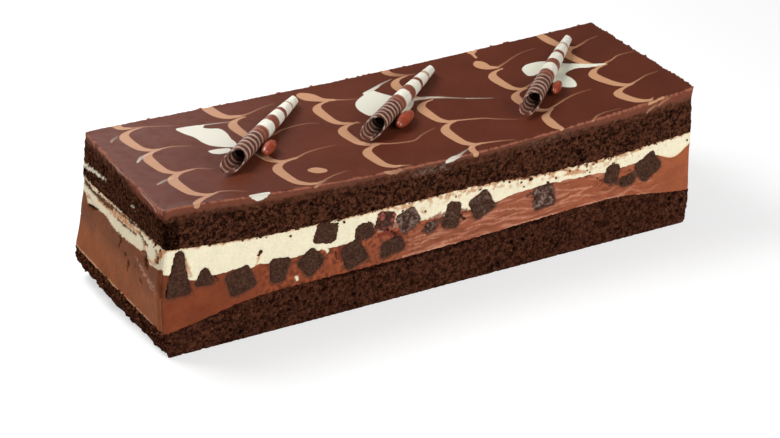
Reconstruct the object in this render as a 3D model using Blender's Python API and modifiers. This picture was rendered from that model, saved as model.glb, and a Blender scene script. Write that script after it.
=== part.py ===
"""Chocolate mousse cake: a long bar of two sponges and two mousses under feathered ganache.

The cake lies along X with its cut front facing -Y and its base on z = 0. Both long sides are
clean cuts that show brownie chunks in the mousse. Three striped chocolate curls and three
glazed beans lie on the ganache. Places on the cake are given in millimetres from its left end
(along) and from its cut front (back), which turn into s and t between 0 and 1.
"""

import math
import random

import bmesh
import bpy
from mathutils import Matrix, Vector

MM = 0.001

# Driving dimensions
LENGTH = 280.0 * MM
DEPTH = 90.7 * MM
HEIGHT = 73.6 * MM
GAP = 0.3 * MM                      # air between neighbouring pieces

# The top sags between its corners, most along the cut front
FRONT_SAG = 7.3 * MM
BACK_SAG = 2.0 * MM
SAG_SKEW = 1.12
GANACHE = 5.8 * MM
GANACHE_SWELL = 2.4 * MM            # extra thickness at the right end
LIP = 0.7 * MM                      # how far the ragged top edge stands out

# Heights in mm where layers meet, at equal steps from the left end to the right end
SPONGE_UNDER_FRONT = (54.2, 50.3, 49.1, 48.7, 48.6, 46.4, 46.9, 49.4)
SPONGE_UNDER_BACK = (51.8, 50.6, 49.2, 48.4, 48.9, 49.4, 48.8, 50.2)
WHITE_UNDER_FRONT = (36.8, 35.8, 35.3, 37.3, 37.3, 40.6, 38.9, 45.5)
WHITE_UNDER_BACK = (37.6, 36.4, 37.6, 36.2, 35.4, 37.4, 36.0, 39.5)
BASE_TOP_FRONT = (12.2, 19.6, 20.5, 20.5, 21.5, 23.0, 23.5, 17.8)
BASE_TOP_BACK = (16.8, 20.4, 22.2, 21.4, 20.6, 21.2, 20.2, 16.8)
WHITE_RISE = 5.6 * MM               # the white mousse's underside rises to the left end
WHITE_RISE_REACH = 13.0 * MM
LENS_DROP = 6.2 * MM                # a lens of white mousse dips near the right end
LENS_ALONG = 270.8 * MM
LENS_REACH = 13.4 * MM

# How far the two ends swell out in mm, at equal steps from the base to the top; the left end
# has its own profile down the front corner and down the back corner
LEFT_SWELL_FRONT = (1.5, 2.9, 3.4, 3.5, 3.1, 1.9, 0.8, 0.5, 1.0)
LEFT_SWELL_BACK = (3.2, 9.2, 7.2, 4.9, 3.6, 2.0, 1.3, 0.4, -0.4)
RIGHT_SWELL_FRONT = (0.3, 1.4, 1.6, 1.1, 0.6, 0.8, 0.3, -0.4, 0.2)
RIGHT_SWELL_BACK = (0.3, 1.6, 1.8, 1.2, 0.7, 0.9, 0.3, -0.4, 0.2)
SWELL_REACH = 0.1                   # share of the length over which the swell fades
CORNER_CREASE = 0.8 * MM            # crease down the left end beside the cut front
CRUMB = 0.35 * MM                   # unevenness of the sponge sides

# How finely each layer is divided along its length and depth
END_CELL = 0.03                     # share that the cells at each end take
CELLS_ALONG = 26
CELLS_DEEP = 5

# Brownie chunks in the cut front:
# (along, up, width of the foot, height, turn in degrees, width of the top as a share of it)
FRONT_CHUNKS = (
    (5.6, 41.4, 13.4, 23.8, -5, 0.26),
    (17.8, 36.6, 9.4, 8.4, -6, 0.35),
    (35.2, 30.2, 12.8, 12.4, 18, 0.95),
    (54.6, 30.6, 6.2, 12.2, -8, 1.65),
    (71.0, 30.8, 11.4, 11.0, 38, 0.9),
    (78.8, 43.4, 11.2, 9.8, -12, 0.9),
    (93.0, 29.4, 12.0, 13.2, 20, 0.85),
    (98.8, 39.8, 10.0, 7.6, 8, 0.85),
    (109.6, 42.4, 9.4, 9.2, -16, 0.95),
    (121.6, 40.0, 11.4, 10.4, 24, 0.9),
    (113.2, 28.2, 13.0, 7.8, 8, 0.8),
    (145.2, 36.8, 8.6, 13.4, -12, 0.8),
    (161.2, 38.4, 12.2, 12.2, 27, 0.95),
    (133.6, 33.6, 6.0, 5.2, 15, 0.8),
    (195.8, 34.0, 11.0, 11.4, 8, 1.0),
    (234.6, 37.4, 7.8, 9.4, -8, 0.85),
    (255.2, 36.6, 13.0, 11.8, 33, 0.95),
    (243.6, 31.8, 8.6, 4.6, 8, 0.85),
)
CHUNK_DEPTH = 10.5 * MM
CHUNK_CHAMFER = 1.1 * MM
CHUNK_JITTER = 0.6 * MM
BACK_CHUNKS = 13
BACK_CHUNK_HEIGHTS = (30.5, 39.0)   # mm; the hidden back has chunks in two uneven rows

# Curls: (mouth along, mouth back, tip along, tip back, mouth radius, tip radius) in mm
CURLS = (
    (44.7, 25.2, 103.0, 77.1, 4.8, 2.45),
    (119.2, 30.6, 179.0, 78.3, 4.85, 2.25),
    (198.3, 19.3, 256.0, 74.8, 4.7, 2.25),
)
CURL_SWELL = 2.6                    # how late a curl starts to narrow towards its tip
CURL_SHEET = 0.6 * MM
CURL_STEP = 0.95 * MM               # how far the sheet moves in with each turn
CURL_TURNS = 1.056
CURL_MOUTH_CUT = 12.4 * MM          # length of the slanting mouth
CURL_TIP_CUT = 3.0 * MM
CURL_LONG_SIDE = math.radians(222)  # the wall that reaches furthest, seen from the mouth
CURL_EDGE_SIDE = math.radians(-90)  # where the outer edge of the sheet lies
CURL_CELLS_ROUND = 24
CURL_CELLS_LONG = 8

# Beans: (place along its curl as a share, length, width, height) in mm
BEANS = ((0.315, 13.0, 5.5, 5.6), (0.27, 17.5, 6.0, 5.8), (0.32, 12.5, 4.6, 5.2))
BEAN_CLEARANCE = 0.25 * MM          # more air beside a bean, whose ends lie past its middle
BEAN_SEGMENTS = 14
BEAN_RINGS = 8

SPONGE_COLOUR = (0.062, 0.026, 0.016)
BASE_SPONGE_COLOUR = (0.050, 0.019, 0.012)
MOUSSE_COLOUR = (0.230, 0.070, 0.028)
WHITE_COLOUR = (0.800, 0.700, 0.480)
GANACHE_COLOUR = (0.115, 0.032, 0.020)
CHUNK_COLOUR = (0.058, 0.028, 0.020)
CURL_COLOUR = (0.450, 0.270, 0.190)
BEAN_COLOUR = (0.260, 0.050, 0.022)


def clear_scene():
    for item in list(bpy.data.objects):
        bpy.data.objects.remove(item, do_unlink=True)


def new_collection(name):
    collection = bpy.data.collections.new(name)
    bpy.context.scene.collection.children.link(collection)
    return collection


def make_material(name, colour, roughness):
    material = bpy.data.materials.new(name)
    material.use_nodes = True
    shader = material.node_tree.nodes["Principled BSDF"]
    shader.inputs["Base Color"].default_value = (*colour, 1.0)
    shader.inputs["Roughness"].default_value = roughness
    return material


def add_object(name, shape, collection, material=None):
    """Turn a bmesh into a named object."""
    bmesh.ops.recalc_face_normals(shape, faces=shape.faces)
    mesh = bpy.data.meshes.new(name)
    shape.to_mesh(mesh)
    shape.free()
    item = bpy.data.objects.new(name, mesh)
    collection.objects.link(item)
    if material:
        mesh.materials.append(material)
    return item


def smooth(x):
    """Ease from 0 to 1 while x goes from 0 to 1."""
    x = min(max(x, 0.0), 1.0)
    return x * x * (3.0 - 2.0 * x)


def curve_through(values, share):
    """Catmull-Rom curve through equally spaced values, read at a share from 0 to 1."""
    place = min(max(share, 0.0), 1.0) * (len(values) - 1)
    i = min(int(place), len(values) - 2)
    f = place - i
    before, a = values[max(i - 1, 0)], values[i]
    b, after = values[i + 1], values[min(i + 2, len(values) - 1)]
    bend = 2 * before - 5 * a + 4 * b - after + f * (3 * (a - b) + after - before)
    return a + 0.5 * f * (b - before + f * bend)


def layer_height(front, back, s, t):
    """Height of a boundary that runs from its front profile to its back profile."""
    near, far = curve_through(front, s), curve_through(back, s)
    return MM * (near + (far - near) * smooth(t))


def top_height(s, t):
    dip = math.sin(math.pi * min(max(s, 0.0), 1.0) ** SAG_SKEW)
    return HEIGHT - dip * (FRONT_SAG + (BACK_SAG - FRONT_SAG) * t)


def ganache_under(s, t):
    return top_height(s, t) - GANACHE - GANACHE_SWELL * smooth((s - 0.75) / 0.25)


def sponge_under(s, t):
    return layer_height(SPONGE_UNDER_FRONT, SPONGE_UNDER_BACK, s, t)


def white_under(s, t):
    lens = max(0.0, 1.0 - abs(s * LENGTH - LENS_ALONG) / LENS_REACH)
    height = layer_height(WHITE_UNDER_FRONT, WHITE_UNDER_BACK, s, t)
    height += WHITE_RISE * (1.0 - smooth(s * LENGTH / WHITE_RISE_REACH))
    return height - LENS_DROP * smooth(lens) * (1.0 - smooth(t))


def base_top(s, t):
    return layer_height(BASE_TOP_FRONT, BASE_TOP_BACK, s, t)


def floor_height(s, t):
    return 0.0


def steepness(surface, s, t):
    """Steepest slope of a surface around a point, taken over the width of an end cell."""
    slopes = []
    for ds, dt in ((END_CELL, 0), (-END_CELL, 0), (0, END_CELL), (0, -END_CELL)):
        if 0 <= s + ds <= 1 and 0 <= t + dt <= 1:
            rise = surface(s + ds, t + dt) - surface(s, t)
            slopes.append(abs(rise) / math.hypot(ds * LENGTH, dt * DEPTH))
    return max(slopes)


def raised(surface):
    """The surface that lies one gap above another, measured square to its slope."""
    return lambda s, t: surface(s, t) + GAP * math.hypot(1.0, steepness(surface, s, t))


def swell(front, back, z, t):
    """How far an end stands out at height z."""
    near, far = curve_through(front, z / HEIGHT), curve_through(back, z / HEIGHT)
    return MM * (near + (far - near) * smooth(t))


def reach(s):
    """Weight of an end's swell, 1 at the end itself."""
    return max(0.0, 1.0 - s / SWELL_REACH) ** 2


def slab_point(s, t, z):
    """Place of a point of a layer, with the ends swollen and creased."""
    x = (s - 0.5) * LENGTH
    y = (t - 0.5) * DEPTH
    x -= reach(s) * swell(LEFT_SWELL_FRONT, LEFT_SWELL_BACK, z, t)
    x += reach(1.0 - s) * swell(RIGHT_SWELL_FRONT, RIGHT_SWELL_BACK, z, t)
    if s == 0.0 and abs(t - END_CELL) < 1e-4:
        x += CORNER_CREASE
    return Vector((x, y, z))


def cut_places(cells):
    """Cuts of a unit side: one close to each end and equal cells between them."""
    span = 1.0 - 2 * END_CELL
    return [END_CELL + span * i / cells for i in range(cells + 1)]


def divided_cube(rows):
    """Unit cube cut by planes along all three axes."""
    shape = bmesh.new()
    bmesh.ops.create_cube(shape, size=1.0, matrix=Matrix.Translation((0.5, 0.5, 0.5)))
    levels = [i / rows for i in range(1, rows)]
    for axis, places in enumerate((cut_places(CELLS_ALONG), cut_places(CELLS_DEEP), levels)):
        normal = Vector((0, 0, 0))
        normal[axis] = 1.0
        for place in places:
            everything = shape.verts[:] + shape.edges[:] + shape.faces[:]
            bmesh.ops.bisect_plane(shape, geom=everything, plane_co=normal * place,
                                   plane_no=normal)
    return shape


def make_slab(name, under, over, rows, collection, material, crumb=0.0, lip=0.0):
    """One layer of the cake between two surfaces, with uneven sides."""
    draw = random.Random(name)
    shape = divided_cube(rows)
    for vert in shape.verts:
        s, t, w = (round(value, 6) for value in vert.co)
        low, high = under(s, t), over(s, t)
        z = low + (high - low) * w
        out = Vector(((s == 1.0) - (s == 0.0), (t == 1.0) - (t == 0.0), 0.0))
        vert.co = slab_point(s, t, z)
        if out.length and 0.0 < w < 1.0:
            vert.co -= out.normalized() * draw.uniform(0.0, crumb)
        if out.length and w == 1.0:
            vert.co += out.normalized() * draw.uniform(0.0, lip)
    bmesh.ops.triangulate(shape, faces=shape.faces, quad_method="SHORT_EDGE")
    return add_object(name, shape, collection, material)


def make_layers(collection):
    sponge = make_material("sponge", SPONGE_COLOUR, 0.95)
    base_sponge = make_material("base_sponge", BASE_SPONGE_COLOUR, 0.95)
    chocolate = make_material("chocolate_mousse", MOUSSE_COLOUR, 0.6)
    white = make_material("white_mousse", WHITE_COLOUR, 0.55)
    ganache = make_material("ganache", GANACHE_COLOUR, 0.35)
    make_slab("bottom_sponge", floor_height, base_top, 2, collection, base_sponge, crumb=CRUMB)
    mousse = make_slab("chocolate_mousse", raised(base_top), white_under, 3, collection,
                       chocolate)
    cream = make_slab("white_mousse", raised(white_under), sponge_under, 2, collection, white)
    make_slab("top_sponge", raised(sponge_under), ganache_under, 2, collection, sponge,
              crumb=CRUMB)
    make_slab("ganache", raised(ganache_under), top_height, 2, collection, ganache, lip=LIP)
    return mousse, cream


def chunk_shape(chunk, side, draw, grow):
    """Angular chunk that sticks out of a cut side; side is -1 at the front and 1 at the back.

    grow makes the pocket's cutter larger than the chunk all round.
    """
    along, up, width, height, turn, top_share = chunk
    size = Vector((width * MM, CHUNK_DEPTH * 2, height * MM))
    shape = bmesh.new()
    bmesh.ops.create_cube(shape, size=1.0)
    for vert in shape.verts:
        corner = vert.co * 2.0
        narrow = top_share if corner.z > 0 else 1.0
        inside = 0.85 if corner.y * side < 0 else 1.0
        jitter = [draw.uniform(-CHUNK_JITTER, CHUNK_JITTER) for axis in range(3)]
        vert.co.x *= size.x * narrow * inside
        vert.co.y *= size.y
        vert.co.z *= size.z * inside
        vert.co += Vector(jitter) + corner * grow
    bmesh.ops.bevel(shape, geom=shape.edges[:], offset=CHUNK_CHAMFER, segments=1,
                    affect="EDGES", profile=0.5)
    place = Vector((along * MM - LENGTH / 2, side * DEPTH / 2, up * MM))
    turned = Matrix.Rotation(math.radians(-turn), 4, "Y")
    bmesh.ops.transform(shape, matrix=Matrix.Translation(place) @ turned, verts=shape.verts)
    return shape


def trim_chunk(shape, side):
    """Cut the chunk flush with the cake's side and keep it below the top sponge."""
    everything = shape.verts[:] + shape.edges[:] + shape.faces[:]
    cut = bmesh.ops.bisect_plane(shape, geom=everything, plane_co=(0, side * DEPTH / 2, 0),
                                 plane_no=(0, side, 0), clear_outer=True)
    rim = [item for item in cut["geom_cut"] if isinstance(item, bmesh.types.BMEdge)]
    bmesh.ops.contextual_create(shape, geom=rim)
    for vert in shape.verts:
        s, t = vert.co.x / LENGTH + 0.5, vert.co.y / DEPTH + 0.5
        vert.co.z = min(vert.co.z, sponge_under(s, t) - GAP)


def back_chunks():
    """Chunks for the hidden side, by a rule like the front's: two uneven rows."""
    draw = random.Random(11)
    pitch = LENGTH / MM / BACK_CHUNKS
    for i in range(BACK_CHUNKS):
        along = pitch * (i + 0.5) + draw.uniform(-3.0, 3.0)
        up = BACK_CHUNK_HEIGHTS[i % 2] + draw.uniform(-1.5, 1.5)
        width, height = draw.uniform(8.5, 13.0), draw.uniform(8.5, 12.0)
        yield along, up, width, height, draw.uniform(-35, 35), draw.uniform(0.75, 1.1)


def make_chunks(collection, cutters):
    material = make_material("brownie", CHUNK_COLOUR, 0.95)
    for label, side, chunks in (("front", -1, FRONT_CHUNKS), ("back", 1, back_chunks())):
        for number, chunk in enumerate(chunks, start=1):
            name = f"brownie_{label}_{number:02d}"
            shape = chunk_shape(chunk, side, random.Random(name), 0.0)
            trim_chunk(shape, side)
            add_object(name, shape, collection, material)
            pocket = chunk_shape(chunk, side, random.Random(name), 1.6 * GAP)
            cutter = add_object(f"pocket_{label}_{number:02d}", pocket, cutters)
            cutter.display_type = "WIRE"
            cutter.hide_render = True


def cut_pockets(layer, cutters):
    cut = layer.modifiers.new("pockets", "BOOLEAN")
    cut.operation = "DIFFERENCE"
    cut.operand_type = "COLLECTION"
    cut.collection = cutters


def on_top(along, back):
    """Point of the ganache's surface at a place given in mm."""
    s, t = along * MM / LENGTH, back * MM / DEPTH
    return Vector(((s - 0.5) * LENGTH, (t - 0.5) * DEPTH, top_height(s, t)))


def curl_radius(curl, share):
    """Radius of a curl at a share of its length from the mouth."""
    mouth_radius, tip_radius = curl[4], curl[5]
    taper = max(0.0, share) ** CURL_SWELL
    return MM * (mouth_radius + (tip_radius - mouth_radius) * taper)


def curl_axis(curl):
    """Axis of a curl that rests on the ganache: its middle points at mouth and tip."""
    mouth_along, mouth_back, tip_along, tip_back, mouth_radius, tip_radius = curl
    up = Vector((0, 0, 1))
    mouth = on_top(mouth_along, mouth_back) + up * mouth_radius * MM
    tip = on_top(tip_along, tip_back) + up * tip_radius * MM
    clearances = []
    for i in range(21):
        f = i / 20
        below = on_top(mouth_along + (tip_along - mouth_along) * f,
                       mouth_back + (tip_back - mouth_back) * f)
        clearances.append(mouth.lerp(tip, f).z - curl_radius(curl, f) - below.z)
    lift = up * (GAP - min(clearances))
    return mouth + lift, tip + lift


def curl_frame(mouth, tip):
    """Matrix whose X runs from mouth to tip, with Y level."""
    ahead = (tip - mouth).normalized()
    level = Vector((0, 0, 1)).cross(ahead).normalized()
    up = ahead.cross(level)
    return Matrix.Translation(mouth) @ Matrix((ahead, level, up)).transposed().to_4x4()


def make_curl(name, curl, collection, material):
    """Striped sheet rolled into a tapering tube, cut at a slant at its open mouth."""
    mouth, tip = curl_axis(curl)
    length = (tip - mouth).length
    shape = bmesh.new()
    bmesh.ops.create_grid(shape, x_segments=CURL_CELLS_LONG, y_segments=CURL_CELLS_ROUND,
                          size=0.5)
    for vert in shape.verts:
        a, b = vert.co.x + 0.5, vert.co.y + 0.5
        angle = CURL_EDGE_SIDE + b * CURL_TURNS * 2 * math.pi
        start = -CURL_MOUTH_CUT / 2 * math.cos(angle - CURL_LONG_SIDE)
        end = length - CURL_TIP_CUT / 2 * (1 - math.cos(angle - CURL_LONG_SIDE))
        x = start + (end - start) * a
        radius = curl_radius(curl, x / length) - b * CURL_TURNS * CURL_STEP
        vert.co = (x, -radius * math.cos(angle), radius * math.sin(angle))
    bmesh.ops.transform(shape, matrix=curl_frame(mouth, tip), verts=shape.verts)
    item = add_object(name, shape, collection, material)
    sheet = item.modifiers.new("sheet", "SOLIDIFY")
    sheet.thickness = CURL_SHEET
    sheet.offset = -1.0
    item.data.shade_smooth()
    item.data.set_sharp_from_angle(angle=math.radians(40))


def make_bean(name, bean, curl, collection, material):
    """Glazed bean tucked against the front side of a curl."""
    share, length, width, height = bean
    mouth, tip = curl_axis(curl)
    ahead = Vector((tip.x - mouth.x, tip.y - mouth.y, 0.0)).normalized()
    aside = Vector((ahead.y, -ahead.x, 0.0))
    middle = mouth.lerp(tip, share)
    ground = on_top((middle.x + LENGTH / 2) / MM, (middle.y + DEPTH / 2) / MM).z
    rise = middle.z - ground - height / 2 * MM - GAP
    apart = curl_radius(curl, share) + width / 2 * MM + GAP + BEAN_CLEARANCE
    spot = middle + aside * math.sqrt(apart ** 2 - rise ** 2)
    ground = on_top((spot.x + LENGTH / 2) / MM, (spot.y + DEPTH / 2) / MM).z
    spot.z = ground + height / 2 * MM + GAP
    shape = bmesh.new()
    bmesh.ops.create_uvsphere(shape, u_segments=BEAN_SEGMENTS, v_segments=BEAN_RINGS,
                              radius=0.5)
    turned = Matrix.Rotation(math.atan2(ahead.y, ahead.x), 4, "Z")
    scaled = Matrix.Diagonal((length * MM, width * MM, height * MM, 1.0))
    bmesh.ops.transform(shape, matrix=Matrix.Translation(spot) @ turned @ scaled,
                        verts=shape.verts)
    add_object(name, shape, collection, material).data.shade_smooth()


def make_toppings(collection):
    curl_material = make_material("curl_chocolate", CURL_COLOUR, 0.4)
    bean_material = make_material("bean_glaze", BEAN_COLOUR, 0.15)
    for number, (curl, bean) in enumerate(zip(CURLS, BEANS), start=1):
        make_curl(f"curl_{number}", curl, collection, curl_material)
        make_bean(f"bean_{number}", bean, curl, collection, bean_material)


def centring_shift(collection):
    """Move that puts the middle of the whole cake's base on the origin."""
    corners = [vert.co for item in collection.objects for vert in item.data.vertices]
    middle_x = (min(c.x for c in corners) + max(c.x for c in corners)) / 2
    middle_y = (min(c.y for c in corners) + max(c.y for c in corners)) / 2
    return Vector((-middle_x, -middle_y, 0.0))


def main():
    clear_scene()
    cake = new_collection("chocolate_mousse_cake")
    cutters = new_collection("chunk_pockets")
    mousse, cream = make_layers(cake)
    make_chunks(cake, cutters)
    cut_pockets(mousse, cutters)
    cut_pockets(cream, cutters)
    make_toppings(cake)
    shift = centring_shift(cake)
    for item in list(cake.objects) + list(cutters.objects):
        item.location = shift


main()
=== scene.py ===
"""Looks of a chocolate mousse cake on a plain pale floor.

Each solid of the frame is dressed with a finer mesh of the same form: crumbly sponges, mousse
packed round brownie chunks, feathered ganache, striped curls and glazed beans. Places on the
cake are in millimetres: along from its left end, back from its cut front, and up.
"""

import math
import random

import bmesh
import bpy
import numpy as np
from mathutils import Matrix, Vector, geometry, noise


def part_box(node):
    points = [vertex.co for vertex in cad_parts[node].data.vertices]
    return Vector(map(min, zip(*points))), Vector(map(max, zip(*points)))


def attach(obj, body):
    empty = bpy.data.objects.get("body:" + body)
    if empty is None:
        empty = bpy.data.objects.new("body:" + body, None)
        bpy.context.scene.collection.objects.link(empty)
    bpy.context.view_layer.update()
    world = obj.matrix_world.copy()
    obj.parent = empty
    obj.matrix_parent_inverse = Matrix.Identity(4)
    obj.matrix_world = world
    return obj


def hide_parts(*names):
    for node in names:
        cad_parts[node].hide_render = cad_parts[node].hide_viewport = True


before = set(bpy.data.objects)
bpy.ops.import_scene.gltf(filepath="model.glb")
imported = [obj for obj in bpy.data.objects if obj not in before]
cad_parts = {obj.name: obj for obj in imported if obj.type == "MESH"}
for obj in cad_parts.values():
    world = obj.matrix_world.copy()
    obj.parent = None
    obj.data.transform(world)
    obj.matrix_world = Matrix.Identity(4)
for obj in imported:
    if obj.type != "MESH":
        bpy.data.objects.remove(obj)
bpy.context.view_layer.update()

MM = 0.001

# The cake's form, as in its solids
LENGTH, DEPTH, HEIGHT = 280.0, 90.7, 73.6
FRONT_SAG, BACK_SAG, SAG_SKEW = 7.3, 2.0, 1.12
GANACHE, GANACHE_SWELL = 5.8, 2.4
LIP = 0.7
SPONGE_UNDER_FRONT = (54.2, 50.3, 49.1, 48.7, 48.6, 46.4, 46.9, 49.4)
SPONGE_UNDER_BACK = (51.8, 50.6, 49.2, 48.4, 48.9, 49.4, 48.8, 50.2)
WHITE_UNDER_FRONT = (36.8, 35.8, 35.3, 37.3, 37.3, 40.6, 38.9, 45.5)
WHITE_UNDER_BACK = (37.6, 36.4, 37.6, 36.2, 35.4, 37.4, 36.0, 39.5)
BASE_TOP_FRONT = (12.2, 19.6, 20.5, 20.5, 21.5, 23.0, 23.5, 17.8)
BASE_TOP_BACK = (16.8, 20.4, 22.2, 21.4, 20.6, 21.2, 20.2, 16.8)
WHITE_RISE, WHITE_RISE_REACH = 5.6, 13.0
LENS_DROP, LENS_ALONG, LENS_REACH = 6.2, 270.8, 13.4
LEFT_SWELL_FRONT = (1.5, 2.9, 3.4, 3.5, 3.1, 1.9, 0.8, 0.5, 1.0)
LEFT_SWELL_BACK = (3.2, 9.2, 7.2, 4.9, 3.6, 2.0, 1.3, 0.4, -0.4)
RIGHT_SWELL_FRONT = (0.3, 1.4, 1.6, 1.1, 0.6, 0.8, 0.3, -0.4, 0.2)
RIGHT_SWELL_BACK = (0.3, 1.6, 1.8, 1.2, 0.7, 0.9, 0.3, -0.4, 0.2)
SWELL_REACH, CORNER_CREASE = 0.1, 0.8
# Curls: (along and back of the mouth, of the tip, then the radius at each)
CURLS = (
    (44.7, 25.2, 103.0, 77.1, 4.8, 2.45),
    (119.2, 30.6, 179.0, 78.3, 4.85, 2.25),
    (198.3, 19.3, 256.0, 74.8, 4.7, 2.25),
)
CURL_SWELL = 2.6
CURL_SHEET, CURL_STEP, CURL_TURNS = 0.6, 0.95, 1.056
CURL_MOUTH_CUT, CURL_TIP_CUT = 12.4, 3.0
CURL_LONG_SIDE, CURL_EDGE_SIDE = math.radians(222), math.radians(-90)
# Beans: (share along their curl, length, width, height)
BEANS = ((0.315, 13.0, 5.5, 5.6), (0.27, 17.5, 6.0, 5.8), (0.32, 12.5, 4.6, 5.2))
BEAN_CLEARANCE, GAP = 0.25, 0.3

# The photo's camera: its place from the cake's left front bottom corner, its lens in mm, and its
# directions to the right, up and back
CAMERA_PLACE, CAMERA_LENS = (-373.6, -857.75, 555.88), 111.74
CAMERA_TURN = ((0.87305332, -0.48749791, 0.0111212), (0.2165689, 0.40808263, 0.88688583),
               (-0.43689336, -0.77189011, 0.46185478))

# Fineness of the dressed meshes: cells of the top, rows down each layer's sides, and steps of the
# points inside the caps that are hidden between layers
CELLS_ALONG, CELLS_DEEP, CORNER_CELLS = 480, 156, 3
BASE_ROWS, CHOCOLATE_ROWS, WHITE_ROWS, SPONGE_ROWS, GANACHE_ROWS = 36, 44, 26, 24, 16
CAP_EDGE, CAP_STEPS = 8.0, (11.0, 12.0)
CHUNK_VOXEL = 0.45
PAINT_CELL, PAINT_MARGIN, UNPAINTED = 0.35, 10.0, -3.0

# How far chunks bulge past their solids, in mm; some of the front by their own amount
CHUNK_GROWTH, CHUNK_GROWTHS = 0.6, {1: 0.1, 6: 1.0, 8: 1.1, 12: 0.9, 17: 1.0, 18: 0.9}
# Greyish bloom on some chunks of the front; below zero they are redder and rougher
CHUNK_FROST = {9: -1.0, 10: 0.7, 12: 0.25, 13: 0.3, 14: 0.6, 15: 0.8}


def linear(*colour):
    """Linear colour from one as it is seen, in steps of 0 to 255."""
    part = np.array(colour, float) / 255
    return np.where(part <= 0.04045, part / 12.92, ((part + 0.055) / 1.055) ** 2.4)


def smooth(x):
    """Soft step from 0 at 0 to 1 at 1."""
    x = np.clip(x, 0.0, 1.0)
    return x * x * (3.0 - 2.0 * x)


def bell(x, middle, width):
    return np.exp(-((x - middle) / width) ** 2)


def blend(a, b, share):
    """Mix two colours, or arrays of them, by an array of shares."""
    share = np.asarray(share)[..., None]
    return a * (1.0 - share) + b * share


def curve_through(values, share):
    """Catmull-Rom curve through equally spaced values, or rows of values."""
    values = np.asarray(values, float)
    place = np.clip(share, 0.0, 1.0) * (len(values) - 1)
    i = np.minimum(place.astype(int), len(values) - 2)
    f = place - i
    if values.ndim > 1:
        f = f[..., None]
    before, a = values[np.maximum(i - 1, 0)], values[i]
    b, after = values[i + 1], values[np.minimum(i + 2, len(values) - 1)]
    bend = 2 * before - 5 * a + 4 * b - after + f * (3 * (a - b) + after - before)
    return a + 0.5 * f * (b - before + f * bend)


def noise_at(points, size, octaves=2, seed=0.0):
    """Smooth noise of about -1 to 1 with lumps of a size in mm, for an array of points."""
    flat = (np.reshape(points, (-1, 3)) / size + seed).tolist()
    values = [noise.fractal(p, 0.9, 2.1, octaves, noise_basis="PERLIN_ORIGINAL") for p in flat]
    return np.reshape(values, np.shape(points)[:-1])


def cells_at(points, size, seed=0.0):
    """Distance to the nearest of many scattered points, in shares of size."""
    flat = (np.reshape(points, (-1, 3)) / size + seed).tolist()
    values = [noise.voronoi(p)[0][0] for p in flat]
    return np.reshape(values, np.shape(points)[:-1])


def between(x, start, end, fade):
    """1 from a start to an end and 0 elsewhere, with soft steps after both."""
    return smooth((x - start) / fade) * (1.0 - smooth((x - end) / fade))


# ---- Layer surfaces

def flat_point(s, t, level=0.0):
    """Points of the plan with one height, for noise that two neighbours share."""
    return np.stack(np.broadcast_arrays(s * LENGTH, t * DEPTH, level), axis=-1)


def across(front, back, share, t):
    """Curve through values at the front, going over into one through those at the back."""
    near, far = curve_through(front, share), curve_through(back, share)
    return near + (far - near) * smooth(t)


def top_height(s, t):
    dip = np.sin(np.pi * np.clip(s, 0.0, 1.0) ** SAG_SKEW)
    return HEIGHT - dip * (FRONT_SAG + (BACK_SAG - FRONT_SAG) * t)


def ganache_under(s, t):
    level = top_height(s, t) - GANACHE - GANACHE_SWELL * smooth((s - 0.75) / 0.25)
    return level + 0.35 * noise_at(flat_point(s, t, 7.0), 3.0)


def sponge_under(s, t):
    level = across(SPONGE_UNDER_FRONT, SPONGE_UNDER_BACK, s, t)
    return level + 0.5 * noise_at(flat_point(s, t, 19.0), 2.6, 3)


def white_under(s, t):
    lens = np.maximum(0.0, 1.0 - np.abs(s * LENGTH - LENS_ALONG) / LENS_REACH)
    level = across(WHITE_UNDER_FRONT, WHITE_UNDER_BACK, s, t)
    level = level + WHITE_RISE * (1.0 - smooth(s * LENGTH / WHITE_RISE_REACH))
    level = level - LENS_DROP * smooth(lens) * (1.0 - smooth(t))
    calm = 1.0 - smooth((s - 0.88) / 0.05)
    waves = 0.9 * noise_at(flat_point(s, t, 31.0), 7.0) * (0.25 + 0.75 * calm)
    return level + waves + 0.4 * noise_at(flat_point(s, t, 37.0), 2.0) * calm


def base_top(s, t):
    level = across(BASE_TOP_FRONT, BASE_TOP_BACK, s, t)
    return level + 0.4 * noise_at(flat_point(s, t, 43.0), 2.4, 3)


def base_under(s, t):
    return np.zeros(np.broadcast(s, t).shape)


def reach(s):
    """How much of an end's swell is felt at a share along the cake."""
    return np.maximum(0.0, 1.0 - s / SWELL_REACH) ** 2


def end_shift(s, t, z):
    """How far the swollen and creased ends move a point along the cake."""
    left = across(LEFT_SWELL_FRONT, LEFT_SWELL_BACK, z / HEIGHT, t)
    right = across(RIGHT_SWELL_FRONT, RIGHT_SWELL_BACK, z / HEIGHT, t)
    crease = CORNER_CREASE * bell(t * DEPTH, 2.7, 1.4) * reach(s) ** 4
    return crease - reach(s) * left + reach(1.0 - s) * right


def curl_radius(curl, share):
    return curl[4] + (curl[5] - curl[4]) * np.maximum(0.0, share) ** CURL_SWELL


def curl_ends(curl):
    """Middle points of a curl's mouth and tip, as it rests on the ganache."""
    mouth_along, mouth_back, tip_along, tip_back, mouth_radius, tip_radius = curl
    share = np.linspace(0.0, 1.0, 21)
    along = mouth_along + (tip_along - mouth_along) * share
    back = mouth_back + (tip_back - mouth_back) * share
    below = top_height(along / LENGTH, back / DEPTH)
    line = below[0] + mouth_radius + (below[-1] + tip_radius - below[0] - mouth_radius) * share
    lift = GAP - np.min(line - curl_radius(curl, share) - below)
    mouth = Vector((mouth_along, mouth_back, line[0] + lift))
    return mouth, Vector((tip_along, tip_back, line[-1] + lift))


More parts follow.
